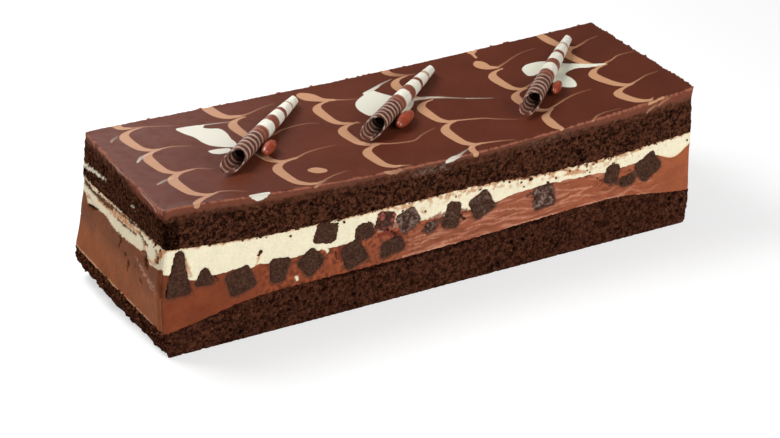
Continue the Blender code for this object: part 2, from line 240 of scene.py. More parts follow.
def bean_spot(bean, curl):
    """Middle point and heading of a bean tucked against the front side of a curl."""
    share, _, width, height = bean
    mouth, tip = curl_ends(curl)
    ahead = Vector((tip.x - mouth.x, tip.y - mouth.y, 0.0)).normalized()
    middle = mouth.lerp(tip, share)
    ground = float(top_height(middle.x / LENGTH, middle.y / DEPTH))
    rise = middle.z - ground - height / 2 - GAP
    apart = float(curl_radius(curl, share)) + width / 2 + GAP + BEAN_CLEARANCE
    spot = middle + Vector((ahead.y, -ahead.x, 0.0)) * math.sqrt(apart ** 2 - rise ** 2)
    spot.z = float(top_height(spot.x / LENGTH, spot.y / DEPTH)) + height / 2 + GAP
    return spot, ahead


def frame_origin():
    """Where the left front bottom corner of the cake lies in the frame, in mm."""
    low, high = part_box("bean_1")
    origin = (low + high) / 2 / MM - bean_spot(BEANS[0], CURLS[0])[0]
    return np.array((origin.x, origin.y, 0.0))


ORIGIN = frame_origin()


# ---- Pieces

def link(name, data):
    item = bpy.data.objects.new(name, data)
    bpy.context.scene.collection.objects.link(item)
    return item


def make_piece(name, points, faces, material, slot, replaced, **values):
    """Mesh object from points in mm on the cake, with named values for each point."""
    mesh = bpy.data.meshes.new(name)
    mesh.from_pydata(((points + ORIGIN) * MM).tolist(), [], faces)
    mesh.validate()
    return dress(name, mesh, material, replaced, values)


def dress(name, mesh, material, replaced, values):
    """A mesh as a piece of the cake, with its material and its values or colours."""
    for label, data in values.items():
        data = np.asarray(data, np.float32)
        kind, field = ("FLOAT", "value") if data.ndim == 1 else ("FLOAT_COLOR", "color")
        if data.ndim == 2:
            data = np.column_stack((data, np.ones(len(data), np.float32)))
        mesh.attributes.new(label, kind, "POINT").data.foreach_set(field, data.ravel())
    mesh.materials.clear()
    mesh.materials.append(material)
    mesh.shade_smooth()
    item = link(name, mesh)
    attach(item, "root")
    if replaced:
        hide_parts(*replaced)
    return item


# ---- Sides of the layers

def plan_grid():
    """Plan points (along, back) of the top's grid, its corners rounded."""
    along, back = np.meshgrid(np.linspace(0.0, LENGTH, CELLS_ALONG + 1),
                              np.linspace(0.0, DEPTH, CELLS_DEEP + 1), indexing="ij")
    radius = CORNER_CELLS * LENGTH / CELLS_ALONG
    away = np.stack((np.maximum(radius - along, along - (LENGTH - radius)),
                     np.maximum(radius - back, back - (DEPTH - radius))), axis=-1)
    corner = (away > 0).all(axis=-1)
    square, round_ = away.max(axis=-1), np.hypot(away[..., 0], away[..., 1])
    share = np.where(corner, square / np.maximum(round_, 1e-9), 1.0) - 1.0
    along = along + np.where(along < LENGTH / 2, -1, 1) * away[..., 0] * share * corner
    back = back + np.where(back < DEPTH / 2, -1, 1) * away[..., 1] * share * corner
    return along, back


def rim_cells():
    """Grid cells round the rim, starting at the left front corner along the front."""
    last_i, last_j = CELLS_ALONG, CELLS_DEEP
    front = [(i, 0) for i in range(last_i)]
    right = [(last_i, j) for j in range(last_j)]
    back = [(i, last_j) for i in range(last_i, 0, -1)]
    left = [(0, j) for j in range(last_j, 0, -1)]
    return np.array(front + right + back + left)


PLAN_ALONG, PLAN_BACK = plan_grid()
RIM = tuple(rim_cells().T)
RIM_ALONG, RIM_BACK = PLAN_ALONG[RIM], PLAN_BACK[RIM]
RIM_S, RIM_T = RIM_ALONG / LENGTH, RIM_BACK / DEPTH


def rim_normals():
    """Directions out of the cake at the rim."""
    ahead = np.stack((np.roll(RIM_ALONG, -1) - np.roll(RIM_ALONG, 1),
                      np.roll(RIM_BACK, -1) - np.roll(RIM_BACK, 1)), axis=-1)
    ahead /= np.linalg.norm(ahead, axis=-1, keepdims=True)
    return np.stack((ahead[:, 1], -ahead[:, 0]), axis=-1)


RIM_OUT = rim_normals()
AT_FRONT, AT_BACK = RIM_OUT[:, 1] < -0.9, RIM_OUT[:, 1] > 0.9
AT_LEFT, AT_RIGHT = RIM_OUT[:, 0] < -0.8, RIM_OUT[:, 0] > 0.8


def side_points(low, high, rows):
    """Points (row, column, 3) down the sides between two surfaces, before any relief."""
    share = np.linspace(0.0, 1.0, rows + 1)[:, None]
    z = low * (1.0 - share) + high * share
    x = RIM_ALONG + end_shift(RIM_S, RIM_T, z)
    return np.stack((x, RIM_BACK + 0.0 * z, z), axis=-1)


def push_out(points, amount):
    """Move side points out of the cake by an array of amounts in mm."""
    moved = points.copy()
    moved[..., 0] += RIM_OUT[:, 0] * amount
    moved[..., 1] += RIM_OUT[:, 1] * amount
    return moved


def cap_faces(loop, start, inner_start, surface):
    """Inner points, and the triangles that close a side loop with them."""
    count = len(loop)
    along, back = np.meshgrid(*(np.arange(CAP_EDGE, size - CAP_EDGE / 2, step)
                                for size, step in zip((LENGTH, DEPTH), CAP_STEPS)))
    inner = np.column_stack((along.ravel(), back.ravel()))
    plan = [Vector(p) for p in np.vstack((loop[:, :2], inner)).tolist()]
    edges = [(i, (i + 1) % count) for i in range(count)]
    found = geometry.delaunay_2d_cdt(plan, edges, [], 1, 1e-7)
    assert len(found[0]) == len(plan), "a side loop crosses itself"
    index = [names[0] for names in found[3]]
    index = [i + (start if i < count else inner_start - count) for i in index]
    inner_z = surface(inner[:, 0] / LENGTH, inner[:, 1] / DEPTH)
    return np.column_stack((inner, inner_z)), [[index[i] for i in face] for face in found[2]]


def grid_quads(index):
    """Quads between the points of a grid, given by their numbers."""
    quads = np.stack((index[:-1, :-1], index[1:, :-1], index[1:, 1:], index[:-1, 1:]), axis=-1)
    return quads.reshape(-1, 4)


def wall_faces(rows, columns):
    """Quads between rows of a closed band, facing outwards."""
    row, column = np.meshgrid(np.arange(rows), np.arange(columns), indexing="ij")
    after = (column + 1) % columns
    quads = np.stack((row * columns + column, row * columns + after,
                      (row + 1) * columns + after, (row + 1) * columns + column), axis=-1)
    return quads.reshape(-1, 4).tolist()


def close_band(points, low, high):
    """All points and faces of a layer: its sides with a cap below and above."""
    rows, columns = points.shape[0] - 1, points.shape[1]
    everything, faces = [points.reshape(-1, 3)], wall_faces(rows, columns)
    total = points[..., 0].size
    for row, surface in ((0, low), (rows, high)):
        extra, triangles = cap_faces(points[row], row * columns, total, surface)
        everything.append(extra)
        total += len(extra)
        faces += [face if row else face[::-1] for face in triangles]
    return np.vstack(everything), faces


def extend(values, points, fill):
    """Give the caps' inner points a plain value."""
    values = np.asarray(values)
    flat = values.reshape(-1, values.shape[-1]) if values.ndim == 3 else values.reshape(-1)
    spare = len(points) - len(flat)
    filler = np.broadcast_to(np.asarray(fill, float), (spare,) + flat.shape[1:])
    return np.concatenate((flat, filler))


# ---- Brownie chunks

def chunk_names():
    return sorted(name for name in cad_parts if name.startswith("brownie_"))


def chunk_outlines():
    """Outlines (along, up) of the chunks where they meet the cut sides, with that side."""
    outlines = []
    for name in chunk_names():
        front = "front" in name
        points = np.array([v.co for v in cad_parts[name].data.vertices]) / MM - ORIGIN
        face = points[:, 1].min() if front else points[:, 1].max()
        flat = points[np.abs(points[:, 1] - face) < 0.02][:, (0, 2)]
        middle = flat.mean(axis=0)
        order = np.argsort(np.arctan2(flat[:, 1] - middle[1], flat[:, 0] - middle[0]))
        outlines.append((front, flat[order]))
    return outlines


def chunk_distance(points):
    """Distance outside the nearest chunk for side points; negative inside its outline."""
    nearest = np.full(points.shape[:2], 50.0)
    for front, outline in chunk_outlines():
        side = AT_FRONT if front else AT_BACK
        window = side & (np.abs(RIM_ALONG - outline[:, 0].mean()) < 16)
        place = points[:, window][..., (0, 2)]
        ahead = np.roll(outline, -1, axis=0) - outline
        long_enough = np.linalg.norm(ahead, axis=1) > 0.05
        corners, ahead = outline[long_enough], ahead[long_enough]
        ahead /= np.linalg.norm(ahead, axis=1, keepdims=True)
        away = [(place[..., 0] - c[0]) * a[1] - (place[..., 1] - c[1]) * a[0]
                for c, a in zip(corners, ahead)]
        nearest[:, window] = np.minimum(nearest[:, window], np.max(away, axis=0))
    return nearest


def make_chunks(material):
    for name in chunk_names():
        source = link(name + "_source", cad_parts[name].data.copy())
        remesh = source.modifiers.new("fine", "REMESH")
        remesh.mode, remesh.voxel_size = "VOXEL", CHUNK_VOXEL * MM
        graph = bpy.context.evaluated_depsgraph_get()
        mesh = bpy.data.meshes.new_from_object(source.evaluated_get(graph))
        bpy.data.objects.remove(source)
        count = len(mesh.vertices)
        place, normal = np.zeros(count * 3), np.zeros(count * 3)
        mesh.vertices.foreach_get("co", place)
        mesh.vertices.foreach_get("normal", normal)
        place, normal = place.reshape(-1, 3) / MM, normal.reshape(-1, 3)
        lumps = 0.2 * noise_at(place, 1.6, 2, 5.0) - 0.35 * smooth(
            (0.24 - cells_at(place, 2.6, 3.0)) / 0.2)
        swell = 0.55 * noise_at(place, 3.6, 2, 6.0)
        number = int(name[-2:]) if "front" in name else None
        growth = CHUNK_GROWTHS.get(number, CHUNK_GROWTH) + lumps + swell
        place += normal * growth[:, None]
        cut = 0.1 + 0.5 * lumps
        if number:
            place[:, 1] = np.maximum(place[:, 1], ORIGIN[1] - cut)
        else:
            place[:, 1] = np.minimum(place[:, 1], ORIGIN[1] + DEPTH + cut)
        mesh.vertices.foreach_set("co", (place * MM).ravel())
        mesh.update()
        frost = CHUNK_FROST.get(number, 0.0) * smooth(0.5 + noise_at(place, 4.0, 2, 7.0) * 1.4)
        # The relief value darkens the chunks' pits and hollows as painted shade in their material
        dress(name.replace("brownie", "crumbly_brownie"), mesh, material, [name],
              {"relief": 0.5 + lumps, "frost": frost})


# ---- Layers

def rolled_rims(points, depth, rows=1.5):
    """How far the first and last rows of a side draw in, so that layers meet in a fine line."""
    row = np.arange(points.shape[0])[:, None]
    last = points.shape[0] - 1
    return -depth * (np.exp(-row / rows) + np.exp(-(last - row) / rows))


# Marks on the sides: side, seed, raggedness, then curves of (place, height, width at each point)
# in mm. The place is along the cut front, or back from it on the left end.
MARKS = {
    "cream": (AT_FRONT, 4, 0.35,
        (72.7, 36.6, 0.8, 76.2, 37, 1.8, 79.2, 35.2, 1.8, 79.2, 33.2, 0.8),
        (63.3, 24.7, 1.5, 63.9, 23.5, 1.5),
        (232.3, 22.9, 0.9, 236, 22.4, 0.7)),
    "pale": (AT_FRONT, 3, 0.5,
        (164.6, 32.6, 0.5, 171.4, 32.6, 0.8, 178.4, 31.9, 0.9, 186.8, 30, 0.5),
        (168.8, 28.2, 0.5, 174.4, 28.2, 0.7, 179.9, 28.8, 0.7, 185.5, 28.5, 0.4),
        (122.1, 26.9, 0.5, 128.1, 26, 0.6, 133.4, 27, 0.7, 138.2, 26.5, 0.5),
        (139.6, 22.8, 0.5, 144.3, 23.6, 0.9, 150.5, 23.8, 0.6),
        (122, 29.2, 0.4, 127.3, 29.9, 0.5, 130.7, 29.7, 0.4),
        (119, 21.4, 0.6, 127.5, 21.5, 1, 134.2, 21.2, 1.1, 141, 21.9, 0.8),
        (204.9, 35.5, 0.5, 210.6, 34.2, 0.8, 216.4, 33.5, 0.8, 223.6, 33.1, 0.4),
        (202.4, 27.7, 0.5, 208.1, 28.1, 0.9, 211, 28.1, 0.4),
        (210.8, 30.8, 0.4, 216.6, 30.1, 0.6, 222.4, 28, 0.4),
        (152, 27, 0.4, 158, 27.8, 0.6, 163, 27.6, 0.4)),
    "dark": (AT_FRONT, 5, 0.35,
        (83.6, 32.7, 1, 83.9, 28.8, 0.6),
        (113, 36, 1.2, 115, 33.6, 2, 113, 31.5, 1),
        (148.9, 36, 1.2, 152, 33, 1.4),
        (23, 35.6, 1.4, 24.6, 33.2, 0.8)),
    "brownie": (AT_FRONT, 24, 0.9,
        (244, 33, 4, 248, 34.4, 4.6, 251.5, 34.6, 5),
        (236, 33, 3.6, 240, 32, 4.2, 243, 32.4, 4),
        (231, 34, 2.4, 235, 31.4, 2.6),
        (139.8, 35.4, 3.4, 142.5, 33.4, 3.6),
        (129.4, 32.4, 1.8, 132, 34.2, 2.6, 137, 35.6, 2.8),
        (148.6, 36, 1.6, 151.6, 33.2, 1.6),
        (190, 37.4, 2, 186.4, 37, 1.4),
        (20.4, 34, 1.8, 24, 33, 1.4)),
    "rough": (AT_FRONT, 27, 1.1,
        (97.4, 35, 5, 103, 37.4, 5.6, 109, 37.6, 5.6, 114.6, 37.2, 7, 117.4, 36, 6),
        (104.4, 40.6, 2, 104, 38, 3),
        (126.6, 36.2, 2.4, 133, 36.6, 2.6, 139, 37.6, 3.4, 141.6, 38.4, 2),
        (149, 37.4, 3, 153, 36.6, 3.4),
        (227.6, 34.4, 4, 232, 33, 4),
        (239.6, 34.4, 3, 245, 35.6, 3, 250, 37.6, 2.4)),
    "wet": (AT_FRONT, 26, 1.2,
        (101.6, 41.6, 1.6, 104.6, 39.4, 2.4, 104, 37, 1.6),
        (106.6, 35.4, 2.4, 110.6, 35.8, 3, 113.4, 34.2, 2),
        (85.6, 34.6, 1.6, 86.4, 31.4, 2.4, 85, 28.6, 1.4),
        (116, 35, 1.4, 117, 31.6, 1.8)),
    "stain": (AT_FRONT, 17, 0.6,
        (43, 32, 0.8, 43.4, 36, 1, 44.6, 39.4, 1.4),
        (129, 42.4, 1.6, 131, 41.6, 1.2),
        (207, 42.9, 1, 213, 43.1, 2.4, 219, 42, 1.4),
        (8.6, 47.4, 1.4, 10.2, 42.6, 1.4, 11.2, 38.8, 1.2)),
    "streak": (AT_LEFT, 19, 0.9,
        (90, 49.4, 2.4, 84, 48.9, 3, 78, 48.3, 2, 70, 48.6, 2.6, 62, 48.8, 2.2, 56, 49, 1.2),
        (26, 51.2, 1, 20, 49.4, 1.6, 16, 49.6, 1),
        (7, 50.8, 1.2, 5, 47.6, 1.6, 6.6, 45.4, 1),
        (66, 50, 0.8, 54, 50.9, 1.3, 44, 51.4, 1, 34, 52.4, 1.5, 24, 53.4, 1, 16, 53.6, 1.4, 9,
         53.6, 1.2),
        (50, 47, 0.8, 40, 47.6, 1.2, 30, 48.4, 0.8)),
    "gold": (AT_LEFT, 18, 1.2,
        (72, 48.8, 3.4, 62, 48.8, 3.6, 54, 49, 4.2, 45, 49.6, 3.2, 36, 50.2, 2.4, 26, 51.2, 1.8),
        (20, 47.8, 2, 16, 44.6, 2.4, 11, 43.4, 2.6, 7, 45.8, 2.2, 4.6, 49.6, 3, 2.6, 53, 1.8),
        (84, 44.6, 1.2, 78, 44.2, 0.8)),
    "slots": (AT_LEFT, 7, 0.7,
        (81, 40.6, 1, 77, 41.2, 2, 71, 43, 0.8),
        (48, 41.6, 0.7, 44, 39.6, 1, 46, 36, 0.5),
        (21, 44.6, 0.8, 17, 45.6, 1.4, 17.6, 41, 2.4, 14, 38.4, 1),
        (38.6, 35.4, 1, 37.4, 34.4, 0.7),
        (35, 33, 1.2, 35.6, 30.4, 0.8, 36, 28, 0.6),
        (23, 30.6, 0.8, 21, 29.2, 1)),
    "frost": (AT_LEFT, 6, 1.6,
        (27, 38.6, 1, 20, 35.6, 2.6, 13, 33.6, 3.4, 6, 31.4, 2.6)),
    "smear": (AT_LEFT, 8, 1.4,
        (91, 57.6, 2.6, 84, 58.6, 2.2, 77, 59.4, 1.4, 70, 60.2, 0.9, 64, 60.7, 0.4),
        (91, 53.4, 1.6, 88, 51.6, 1.6, 82, 51, 0.8),
        (34, 61, 1.1, 31.6, 60.4, 0.6)),
}
# Lower edge of the white mousse on the left end, (back, up)
LEFT_EDGE = np.reshape((
    0, 45, 5, 43.1, 13, 41.7, 16, 43.8, 19, 46, 24, 43.8, 35, 42.4, 46, 41.4, 51, 41.4, 57, 42.6,
     63, 43.4, 69, 43, 75, 42, 83, 41.1, 86, 44.6, 91, 45
), (-1, 2)).T


def marks(points, name):
    """Shares of marks on one side: 1 inside them, 0 outside."""
    side, seed, ragged, *paths = MARKS[name]
    part = points[:, side]
    place = part[..., 1] if side is AT_LEFT else part[..., 0]
    wobble = ragged * noise_at(part, 1.3, 2, seed)
    share = np.zeros(place.shape)
    for path in paths:
        for spot, height, width in through(np.reshape(path, (-1, 3)), 0.5):
            away = np.hypot(place - spot, part[..., 2] - height) + wobble
            share = np.maximum(share, smooth((width / 2 - away) / 0.5 + 0.5))
    found = np.zeros(points.shape[:2])
    found[:, side] = share
    return found


# Deep pits in the sponges' cut front: (along, up, radius)
PITS = np.reshape((
    77.5, 15, 1.2, 80.7, 7.9, 0.9, 107, 8.9, 1.2, 171.1, 4.1, 1.5, 184.7, 13.9, 1.2, 190.3, 14.9,
     1, 180, 10.3, 1, 277, 13, 1.1, 34.7, 3.9, 1.3, 28, 1.4, 1, 214.8, 53.6, 2, 216, 49, 1.2, 131,
     57.6, 0.8, 60, 9, 0.8, 240, 6, 1
), (-1, 3))
MARKS["pits"] = (AT_FRONT, 30, 0.35, *((a, z, 1.4 * r, a + 0.3, z, 1.2 * r) for a, z, r in PITS))


def worn_corner(points):
    """How far the foot at the back of the left end is worn back, in mm along."""
    along, back, z = points[..., 0], points[..., 1], points[..., 2]
    worn = smooth((back - 50) / 40) * smooth((18 - z) / 4) * (3.0 - 0.12 * z)
    return worn * np.exp(-np.maximum(along, 0) / 14)


def sponge_relief(points):
    """Crumb, pores and crags of a sponge's sides in mm."""
    coarse = noise_at(points, 2.4, 3, 2.0)
    pits = marks(points, "pits")
    grain = cells_at(points, 1.2, 9.0)
    pores = smooth((0.3 - cells_at(points, 4.4, 4.0)) / 0.24)
    patch = smooth(noise_at(points, 9.0, 1, 6.0) * 2.0 + 0.4)
    return 0.3 * coarse + 0.42 * (0.45 - grain) - 1.2 * pores * patch - 1.6 * pits


def corner_gap(points, low, high, depth):
    """Dark gap down the front left corner between two heights."""
    near = bell(points[..., 1], 1.8, 1.1) * (points[..., 0] < 6)
    return -depth * near * smooth((points[..., 2] - low) / 2) * smooth((high - points[..., 2]) / 2)


def make_sponge(name, low, high, rows, material):
    """A sponge with crumb, pores and smears on its sides, between two surfaces."""
    points = side_points(np.maximum(low(RIM_S, RIM_T) - 0.1, 0), high(RIM_S, RIM_T) + 0.1, rows)
    relief = sponge_relief(points)
    depth = 0.25 + relief + rolled_rims(points, 0.25) + corner_gap(points, 54, 66, 2.2)
    z = points[..., 2]
    smear = marks(points, "smear")
    rough_end = AT_LEFT * smooth((18 - z) / 4)
    depth += rough_end * (1.2 * noise_at(points, 4.2, 3, 9.0) - 0.5)
    depth = np.where(z > 1.0, depth, np.minimum(depth, 0.1)) + 0.3 * smear
    points = push_out(points, np.clip(depth, -1.7, 0.6))
    points[..., 0] += worn_corner(points)
    under_top = high(RIM_S, RIM_T) - z + 0.7 * relief
    # The relief value darkens the sponge's colour as painted shade; more of it just below the
    # chocolate mousse along the front, and in the notch at the top of the front left corner
    shaded_span = smooth((RIM_ALONG - 76) / 12) * smooth((206 - RIM_ALONG) / 12) * AT_FRONT
    relief = relief - 0.45 * shaded_span * smooth((2.0 - under_top) / 0.8) * (z < 25)
    relief = relief - 1.0 * bell(points[..., 1], 1.2, 1.8) * (points[..., 0] < 6) * (z > 48)
    everything, faces = close_band(points, low, high)
    make_piece(name + "_crumb", everything, faces, material, name, [name],
               relief=extend(0.5 + relief, everything, 0.5),
               smear=extend(smear, everything, 0.0))


# Colours down the sides of both mousses; the tones run from left to right along the front
MOUSSE_TONES = [linear(*c) for c in ((122, 60, 36), (128, 64, 40), (136, 72, 48), (148, 84, 60),
                                     (149, 84, 60), (150, 83, 57), (153, 84, 54))]
MOUSSE_SHEEN, MOUSSE_DARK = linear(212, 150, 122), linear(84, 40, 24)
SLOT_SHADE = linear(30, 14, 9)
MOUSSE_ORANGE, MOUSSE_WET = linear(160, 82, 50), linear(110, 48, 36)
MOUSSE_END_TONE, END_EDGE_HIGHLIGHT = linear(140, 78, 43), linear(198, 152, 114)
CHUNK_TONE, FROST_TONE = linear(84, 52, 40), linear(172, 128, 108)
WHITE_TONE, WHITE_END_TONE = linear(236, 226, 196), linear(222, 208, 178)
WHITE_STAIN, LENS_EDGE = linear(186, 122, 72), linear(224, 176, 120)
STREAK_TONE = linear(86, 42, 25)


def streaky_tone(points):
    """Mousse with pale and dark streaks along its knife smears, the pale ones a painted satin
    sheen, and rougher and more orange towards the left.
    """
    s, z = points[..., 0] / LENGTH, points[..., 2]
    tone = curve_through(MOUSSE_TONES, s)
    tone = blend(tone, MOUSSE_END_TONE * (1.0 - 0.35 * smooth((z - 24) / 14))[..., None],
                 (AT_LEFT | AT_RIGHT) + 0.0 * z)
    flow = points * (0.13, 0.13, 1.0)
    flow[..., 2] += 2.2 * noise_at(points * (1, 1, 0.6), 12.0, 2, 1.0)
    streaks = noise_at(flow, 1.7, 3, 12.0)
    where = between(s, 0.4, 0.9, 0.06) * ~AT_LEFT
    # Pale streaks: a painted satin sheen on the knife smears
    pale = smooth((streaks - 0.1) / 0.4) * where
    dark = smooth((-streaks - 0.2) / 0.4) * where
    tone = blend(blend(tone, MOUSSE_SHEEN, 0.42 * pale), MOUSSE_DARK, 0.34 * dark)
    rough = between(s, 0.14, 0.42, 0.05) * ~AT_LEFT
    crumbly = noise_at(points, 2.0, 3, 22.0)
    tone = blend(tone, MOUSSE_ORANGE, 0.6 * smooth((-crumbly - 0.05) / 0.3) * rough)
    tone = blend(tone, MOUSSE_DARK, 0.65 * smooth((crumbly - 0.1) / 0.3) * rough)
    return tone, streaks, where


def chocolate_tone(points):
    """Colours down the sides of the chocolate mousse, with its streaks and slots."""
    s, z = points[..., 0] / LENGTH, points[..., 2]
    tone, streaks, where = streaky_tone(points)
    away = chunk_distance(points) + 1.0 * noise_at(points, 1.4, 3, 23.0)
    tone = blend(tone, CHUNK_TONE, 0.8 * smooth((1.8 - away) / 0.9) * ~AT_LEFT)
    tone = rough_between(points, tone)
    mottle = 1.0 + 0.14 * noise_at(points * (0.5, 1, 1), 8.0, 4, 25.0)
    tone = tone * mottle[..., None]
    # Pale pinkish lines: a painted satin sheen on the knife smears
    tone = blend(tone, MOUSSE_SHEEN, 0.55 * marks(points, "pale"))
    tone = blend(tone, WHITE_TONE, marks(points, "cream"))
    # Small dark holes, painted near black as the shade inside them
    tone = blend(tone, SLOT_SHADE, 0.85 * marks(points, "dark"))
    fan = np.sin(z * 3.4 + 0.045 * (points[..., 0] - 262) * (z - 26)) * smooth((s - 0.93) / 0.03)
    tone = tone * (1.0 + 0.05 * fan * ~AT_LEFT)[..., None]
    # Pale line along the lower edge on the front and the left end: a painted highlight on the
    # rounded edge
    above = z - base_top(RIM_S, RIM_T)
    rim = smooth((1.1 + 0.5 * streaks - above) / 0.4)
    often = smooth(noise_at(points, 12.0, 1, 5.0) * 1.6 + 0.6)
    rim = rim * np.where(AT_LEFT, smooth((points[..., 1] - 4) / 14) * 1.5, where * often)
    edge_highlight = blend(MOUSSE_SHEEN + 0.0 * points, END_EDGE_HIGHLIGHT, AT_LEFT + 0.0 * z)
    tone = blend(tone, edge_highlight, np.clip(0.6 * rim, 0, 0.85))
    # Painted shade in the crease at the front corner of the left end
    tone = blend(tone, MOUSSE_DARK, AT_LEFT * 0.6 * smooth((2.2 - points[..., 1]) / 1.6))
    frost = marks(points, "frost")
    tone = blend(tone, FROST_TONE, 0.75 * frost * smooth(noise_at(points, 1.8, 2, 8.0) * 2 + 0.7))
    # Slots cut into the left end, painted near black as the shade inside them
    slots = marks(points, "slots")
    tone = blend(tone, SLOT_SHADE, 0.9 * slots)
    end = AT_LEFT & (z > 38)
    return blend(tone, WHITE_END_TONE, end * over_left_edge(points)), streaks * where, slots


def rough_between(points, tone):
    """Rough orange-brown mousse and crushed brownie that fill the gaps between chunks."""
    crumbly = noise_at(points, 1.5, 3, 22.0)
    filler = blend(MOUSSE_ORANGE + 0.0 * points, CHUNK_TONE, smooth((crumbly + 0.12) / 0.4))
    tone = blend(tone, filler, 0.85 * marks(points, "rough"))
    tone = blend(tone, MOUSSE_WET, 0.9 * marks(points, "wet"))
    return blend(tone, CHUNK_TONE, 0.92 * marks(points, "brownie"))


def over_left_edge(points):
    """Share of white above the white mousse's ragged lower edge on the left end."""
    over = points[..., 2] - np.interp(points[..., 1], *LEFT_EDGE)
    return smooth((over + 0.5 * noise_at(points, 1.8, 2, 40.0)) / 0.6 + 0.5)


def white_tone(points, low, high):
    """Colours down the sides of the white mousse, with crumbs smeared in."""
    s, z = points[..., 0] / LENGTH, points[..., 2]
    tone = blend(WHITE_TONE + 0.0 * points, WHITE_END_TONE, (AT_LEFT | AT_RIGHT) + 0.0 * z)
    tone = blend(tone, MOUSSE_END_TONE * 0.8, AT_LEFT * (1.0 - over_left_edge(points)))
    below = high - z
    ragged = noise_at(points, 2.4, 3, 14.0)
    worn = 0.3 + 0.7 * smooth((s - 0.36) / 0.08) * (1.0 - smooth((s - 0.86) / 0.05))
    worn = np.where(AT_LEFT | AT_RIGHT, 0.6, worn)
    stain = smooth((0.9 + worn * (0.6 + 3.0 * ragged) - below) / 1.0)
    patches = smooth((noise_at(points, 3.2, 3, 16.0) + 0.2 * worn - 0.3) / 0.2) * worn
    patches = patches * smooth(1.6 - below / 4.0) * (s > 0.3)
    tone = blend(tone, WHITE_STAIN, np.clip(0.8 * stain + 0.6 * patches, 0, 0.8))
    broken = between(s, 0.6, 0.82, 0.05)
    dark = smooth((0.1 + (0.5 + 1.2 * broken) * (ragged * 2.6 - 0.1) - below) / 0.5)
    tone = blend(tone, CHUNK_TONE, 0.9 * dark * ~AT_LEFT)
    near_chunk = chunk_distance(points) + 0.7 * noise_at(points, 1.4, 3, 23.0)
    tone = blend(tone, WHITE_STAIN, 0.7 * smooth((0.9 - near_chunk) / 0.6) * worn * ~AT_LEFT)
    tone = rough_between(points, tone)
    lens = smooth((s - 0.93) / 0.02) * ~AT_RIGHT * smooth((0.8 - z + low) / 0.6)
    tone = blend(tone, LENS_EDGE, 0.8 * lens)
    tone = blend(tone, WHITE_STAIN, 0.7 * marks(points, "stain"))
    patchy = 0.55 + 0.45 * smooth(noise_at(points, 1.8, 3, 21.0) * 2 + 0.5)
    tone = blend(tone, WHITE_STAIN, marks(points, "gold") * patchy)
    tone = blend(tone, STREAK_TONE, 0.95 * marks(points, "streak"))
    # The same slots, painted near black as the shade inside them
    return blend(tone, SLOT_SHADE, 0.9 * marks(points, "slots"))


def make_chocolate_mousse(material):
    low, high = base_top(RIM_S, RIM_T), white_under(RIM_S, RIM_T)
    points = side_points(low - 0.1, high + 0.05, CHOCOLATE_ROWS)
    tone, streaks, slots = chocolate_tone(points)
    pits = smooth((0.2 - cells_at(points, 5.6, 17.0)) / 0.2)
    depth = 0.1 * noise_at(points, 9.0, 2, 3.0) + 0.14 * streaks - 0.5 * pits - 1.1 * slots
    depth += rolled_rims(points, 0.1) + corner_gap(points, 29, 38, 2.0)
    depth -= 2.6 * smooth((0.28 - chunk_distance(points)) / 0.35)
    points = push_out(points, depth)
    everything, faces = close_band(points, base_top, white_under)
    make_piece("chocolate_mousse_cut", everything, faces, material, "chocolate_mousse",
               ["chocolate_mousse"], tone=extend(tone, everything, MOUSSE_TONES[0]))


def make_white_mousse(material):
    low, high = white_under(RIM_S, RIM_T), sponge_under(RIM_S, RIM_T)
    points = side_points(low - 0.05, high + 0.1, WHITE_ROWS)
    tone = white_tone(points, low, high)
    share = np.linspace(0, 1, WHITE_ROWS + 1)[:, None]
    lip = AT_LEFT * bell(points[..., 1], 9, 12) * np.sin(np.pi * share) * 0.9
    depth = 0.15 * noise_at(points, 4.0, 3, 4.0) + lip + rolled_rims(points, 0.1)
    depth -= 0.7 * marks(points, "streak")
    depth -= 2.6 * smooth((0.28 - chunk_distance(points)) / 0.35)
    points = push_out(points, depth)
    everything, faces = close_band(points, white_under, sponge_under)
    make_piece("white_mousse_cut", everything, faces, material, "white_mousse",
               ["white_mousse"], tone=extend(tone, everything, WHITE_TONE))


# ---- Feathering

# Arc of a feather stroke: (share of its reach to the right, share of its drop, width in mm)
ARC = ((1.0, 0.0, 0.9), (0.5, 0.05, 1.7), (0.14, 0.16, 3.6), (0.0, 0.32, 5.2), (0.05, 0.6, 4.8),
       (0.18, 0.84, 4.0), (0.5, 0.98, 2.5), (0.8, 1.0, 1.5))

# Strokes: (left edge, back end, front end, reach, points that the fading tail goes through)
STROKES = (
    (14.3, 83.6, 59, 11.7, 29.3, 59.4, 34.3, 58.2, 39, 56.4),
    (15.2, 58.6, 33.6, 9, 31, 34.4, 38.5, 31.2),
    (16.2, 34.2, 8.4, 13.5, 31, 9.4, 36, 8.2, 42, 5.4),
    (65.6, 74.4, 50.7, 9.5, 79.3, 52.8, 84.3, 55.3, 91.8, 56.9, 98.5, 56.9, 104, 55),
    (63.8, 50.2, 26.9, 10, 79.3, 28.2, 84.3, 30.3, 91.8, 31.9, 101, 32.3),
    (64.7, 27.3, 1.9, 13.5, 79.3, 3.2, 86, 6.1, 94, 8),
    (109.6, 73.4, 49.8, 9, 122.7, 47.3),
    (110.2, 48.8, 26.5, 11, 126, 23.5, 136.4, 22, 143, 25.5, 151.7, 29),
    (110.6, 25.4, 3.2, 10.4, 124, 1.6),
    (156.2, 81, 56.5, 10, 172, 54.5),
    (155.8, 54.2, 31.1, 9.5, 176.7, 27.3, 183.3, 23.2, 191, 18.6),
    (155, 30.7, 6.5, 11, 173.3, 4.4, 180, 2.2),
    (203.2, 66.8, 43.8, 9.2, 215, 45.5, 221, 48),
    (201.7, 43.2, 19.8, 10, 216.7, 22.3, 223.3, 24.8, 230, 26.3, 238, 26.5),
    (248.3, 69, 45.5, 9, 263.3, 47.3, 268.3, 49.8, 273.3, 50.2, 279.5, 49.4),
    (246.7, 44.8, 20.3, 12.6, 263.3, 22.3, 268.3, 24, 275.5, 24.4),
    (245.8, 19.8, 1.5, 12, 258, 3),
)

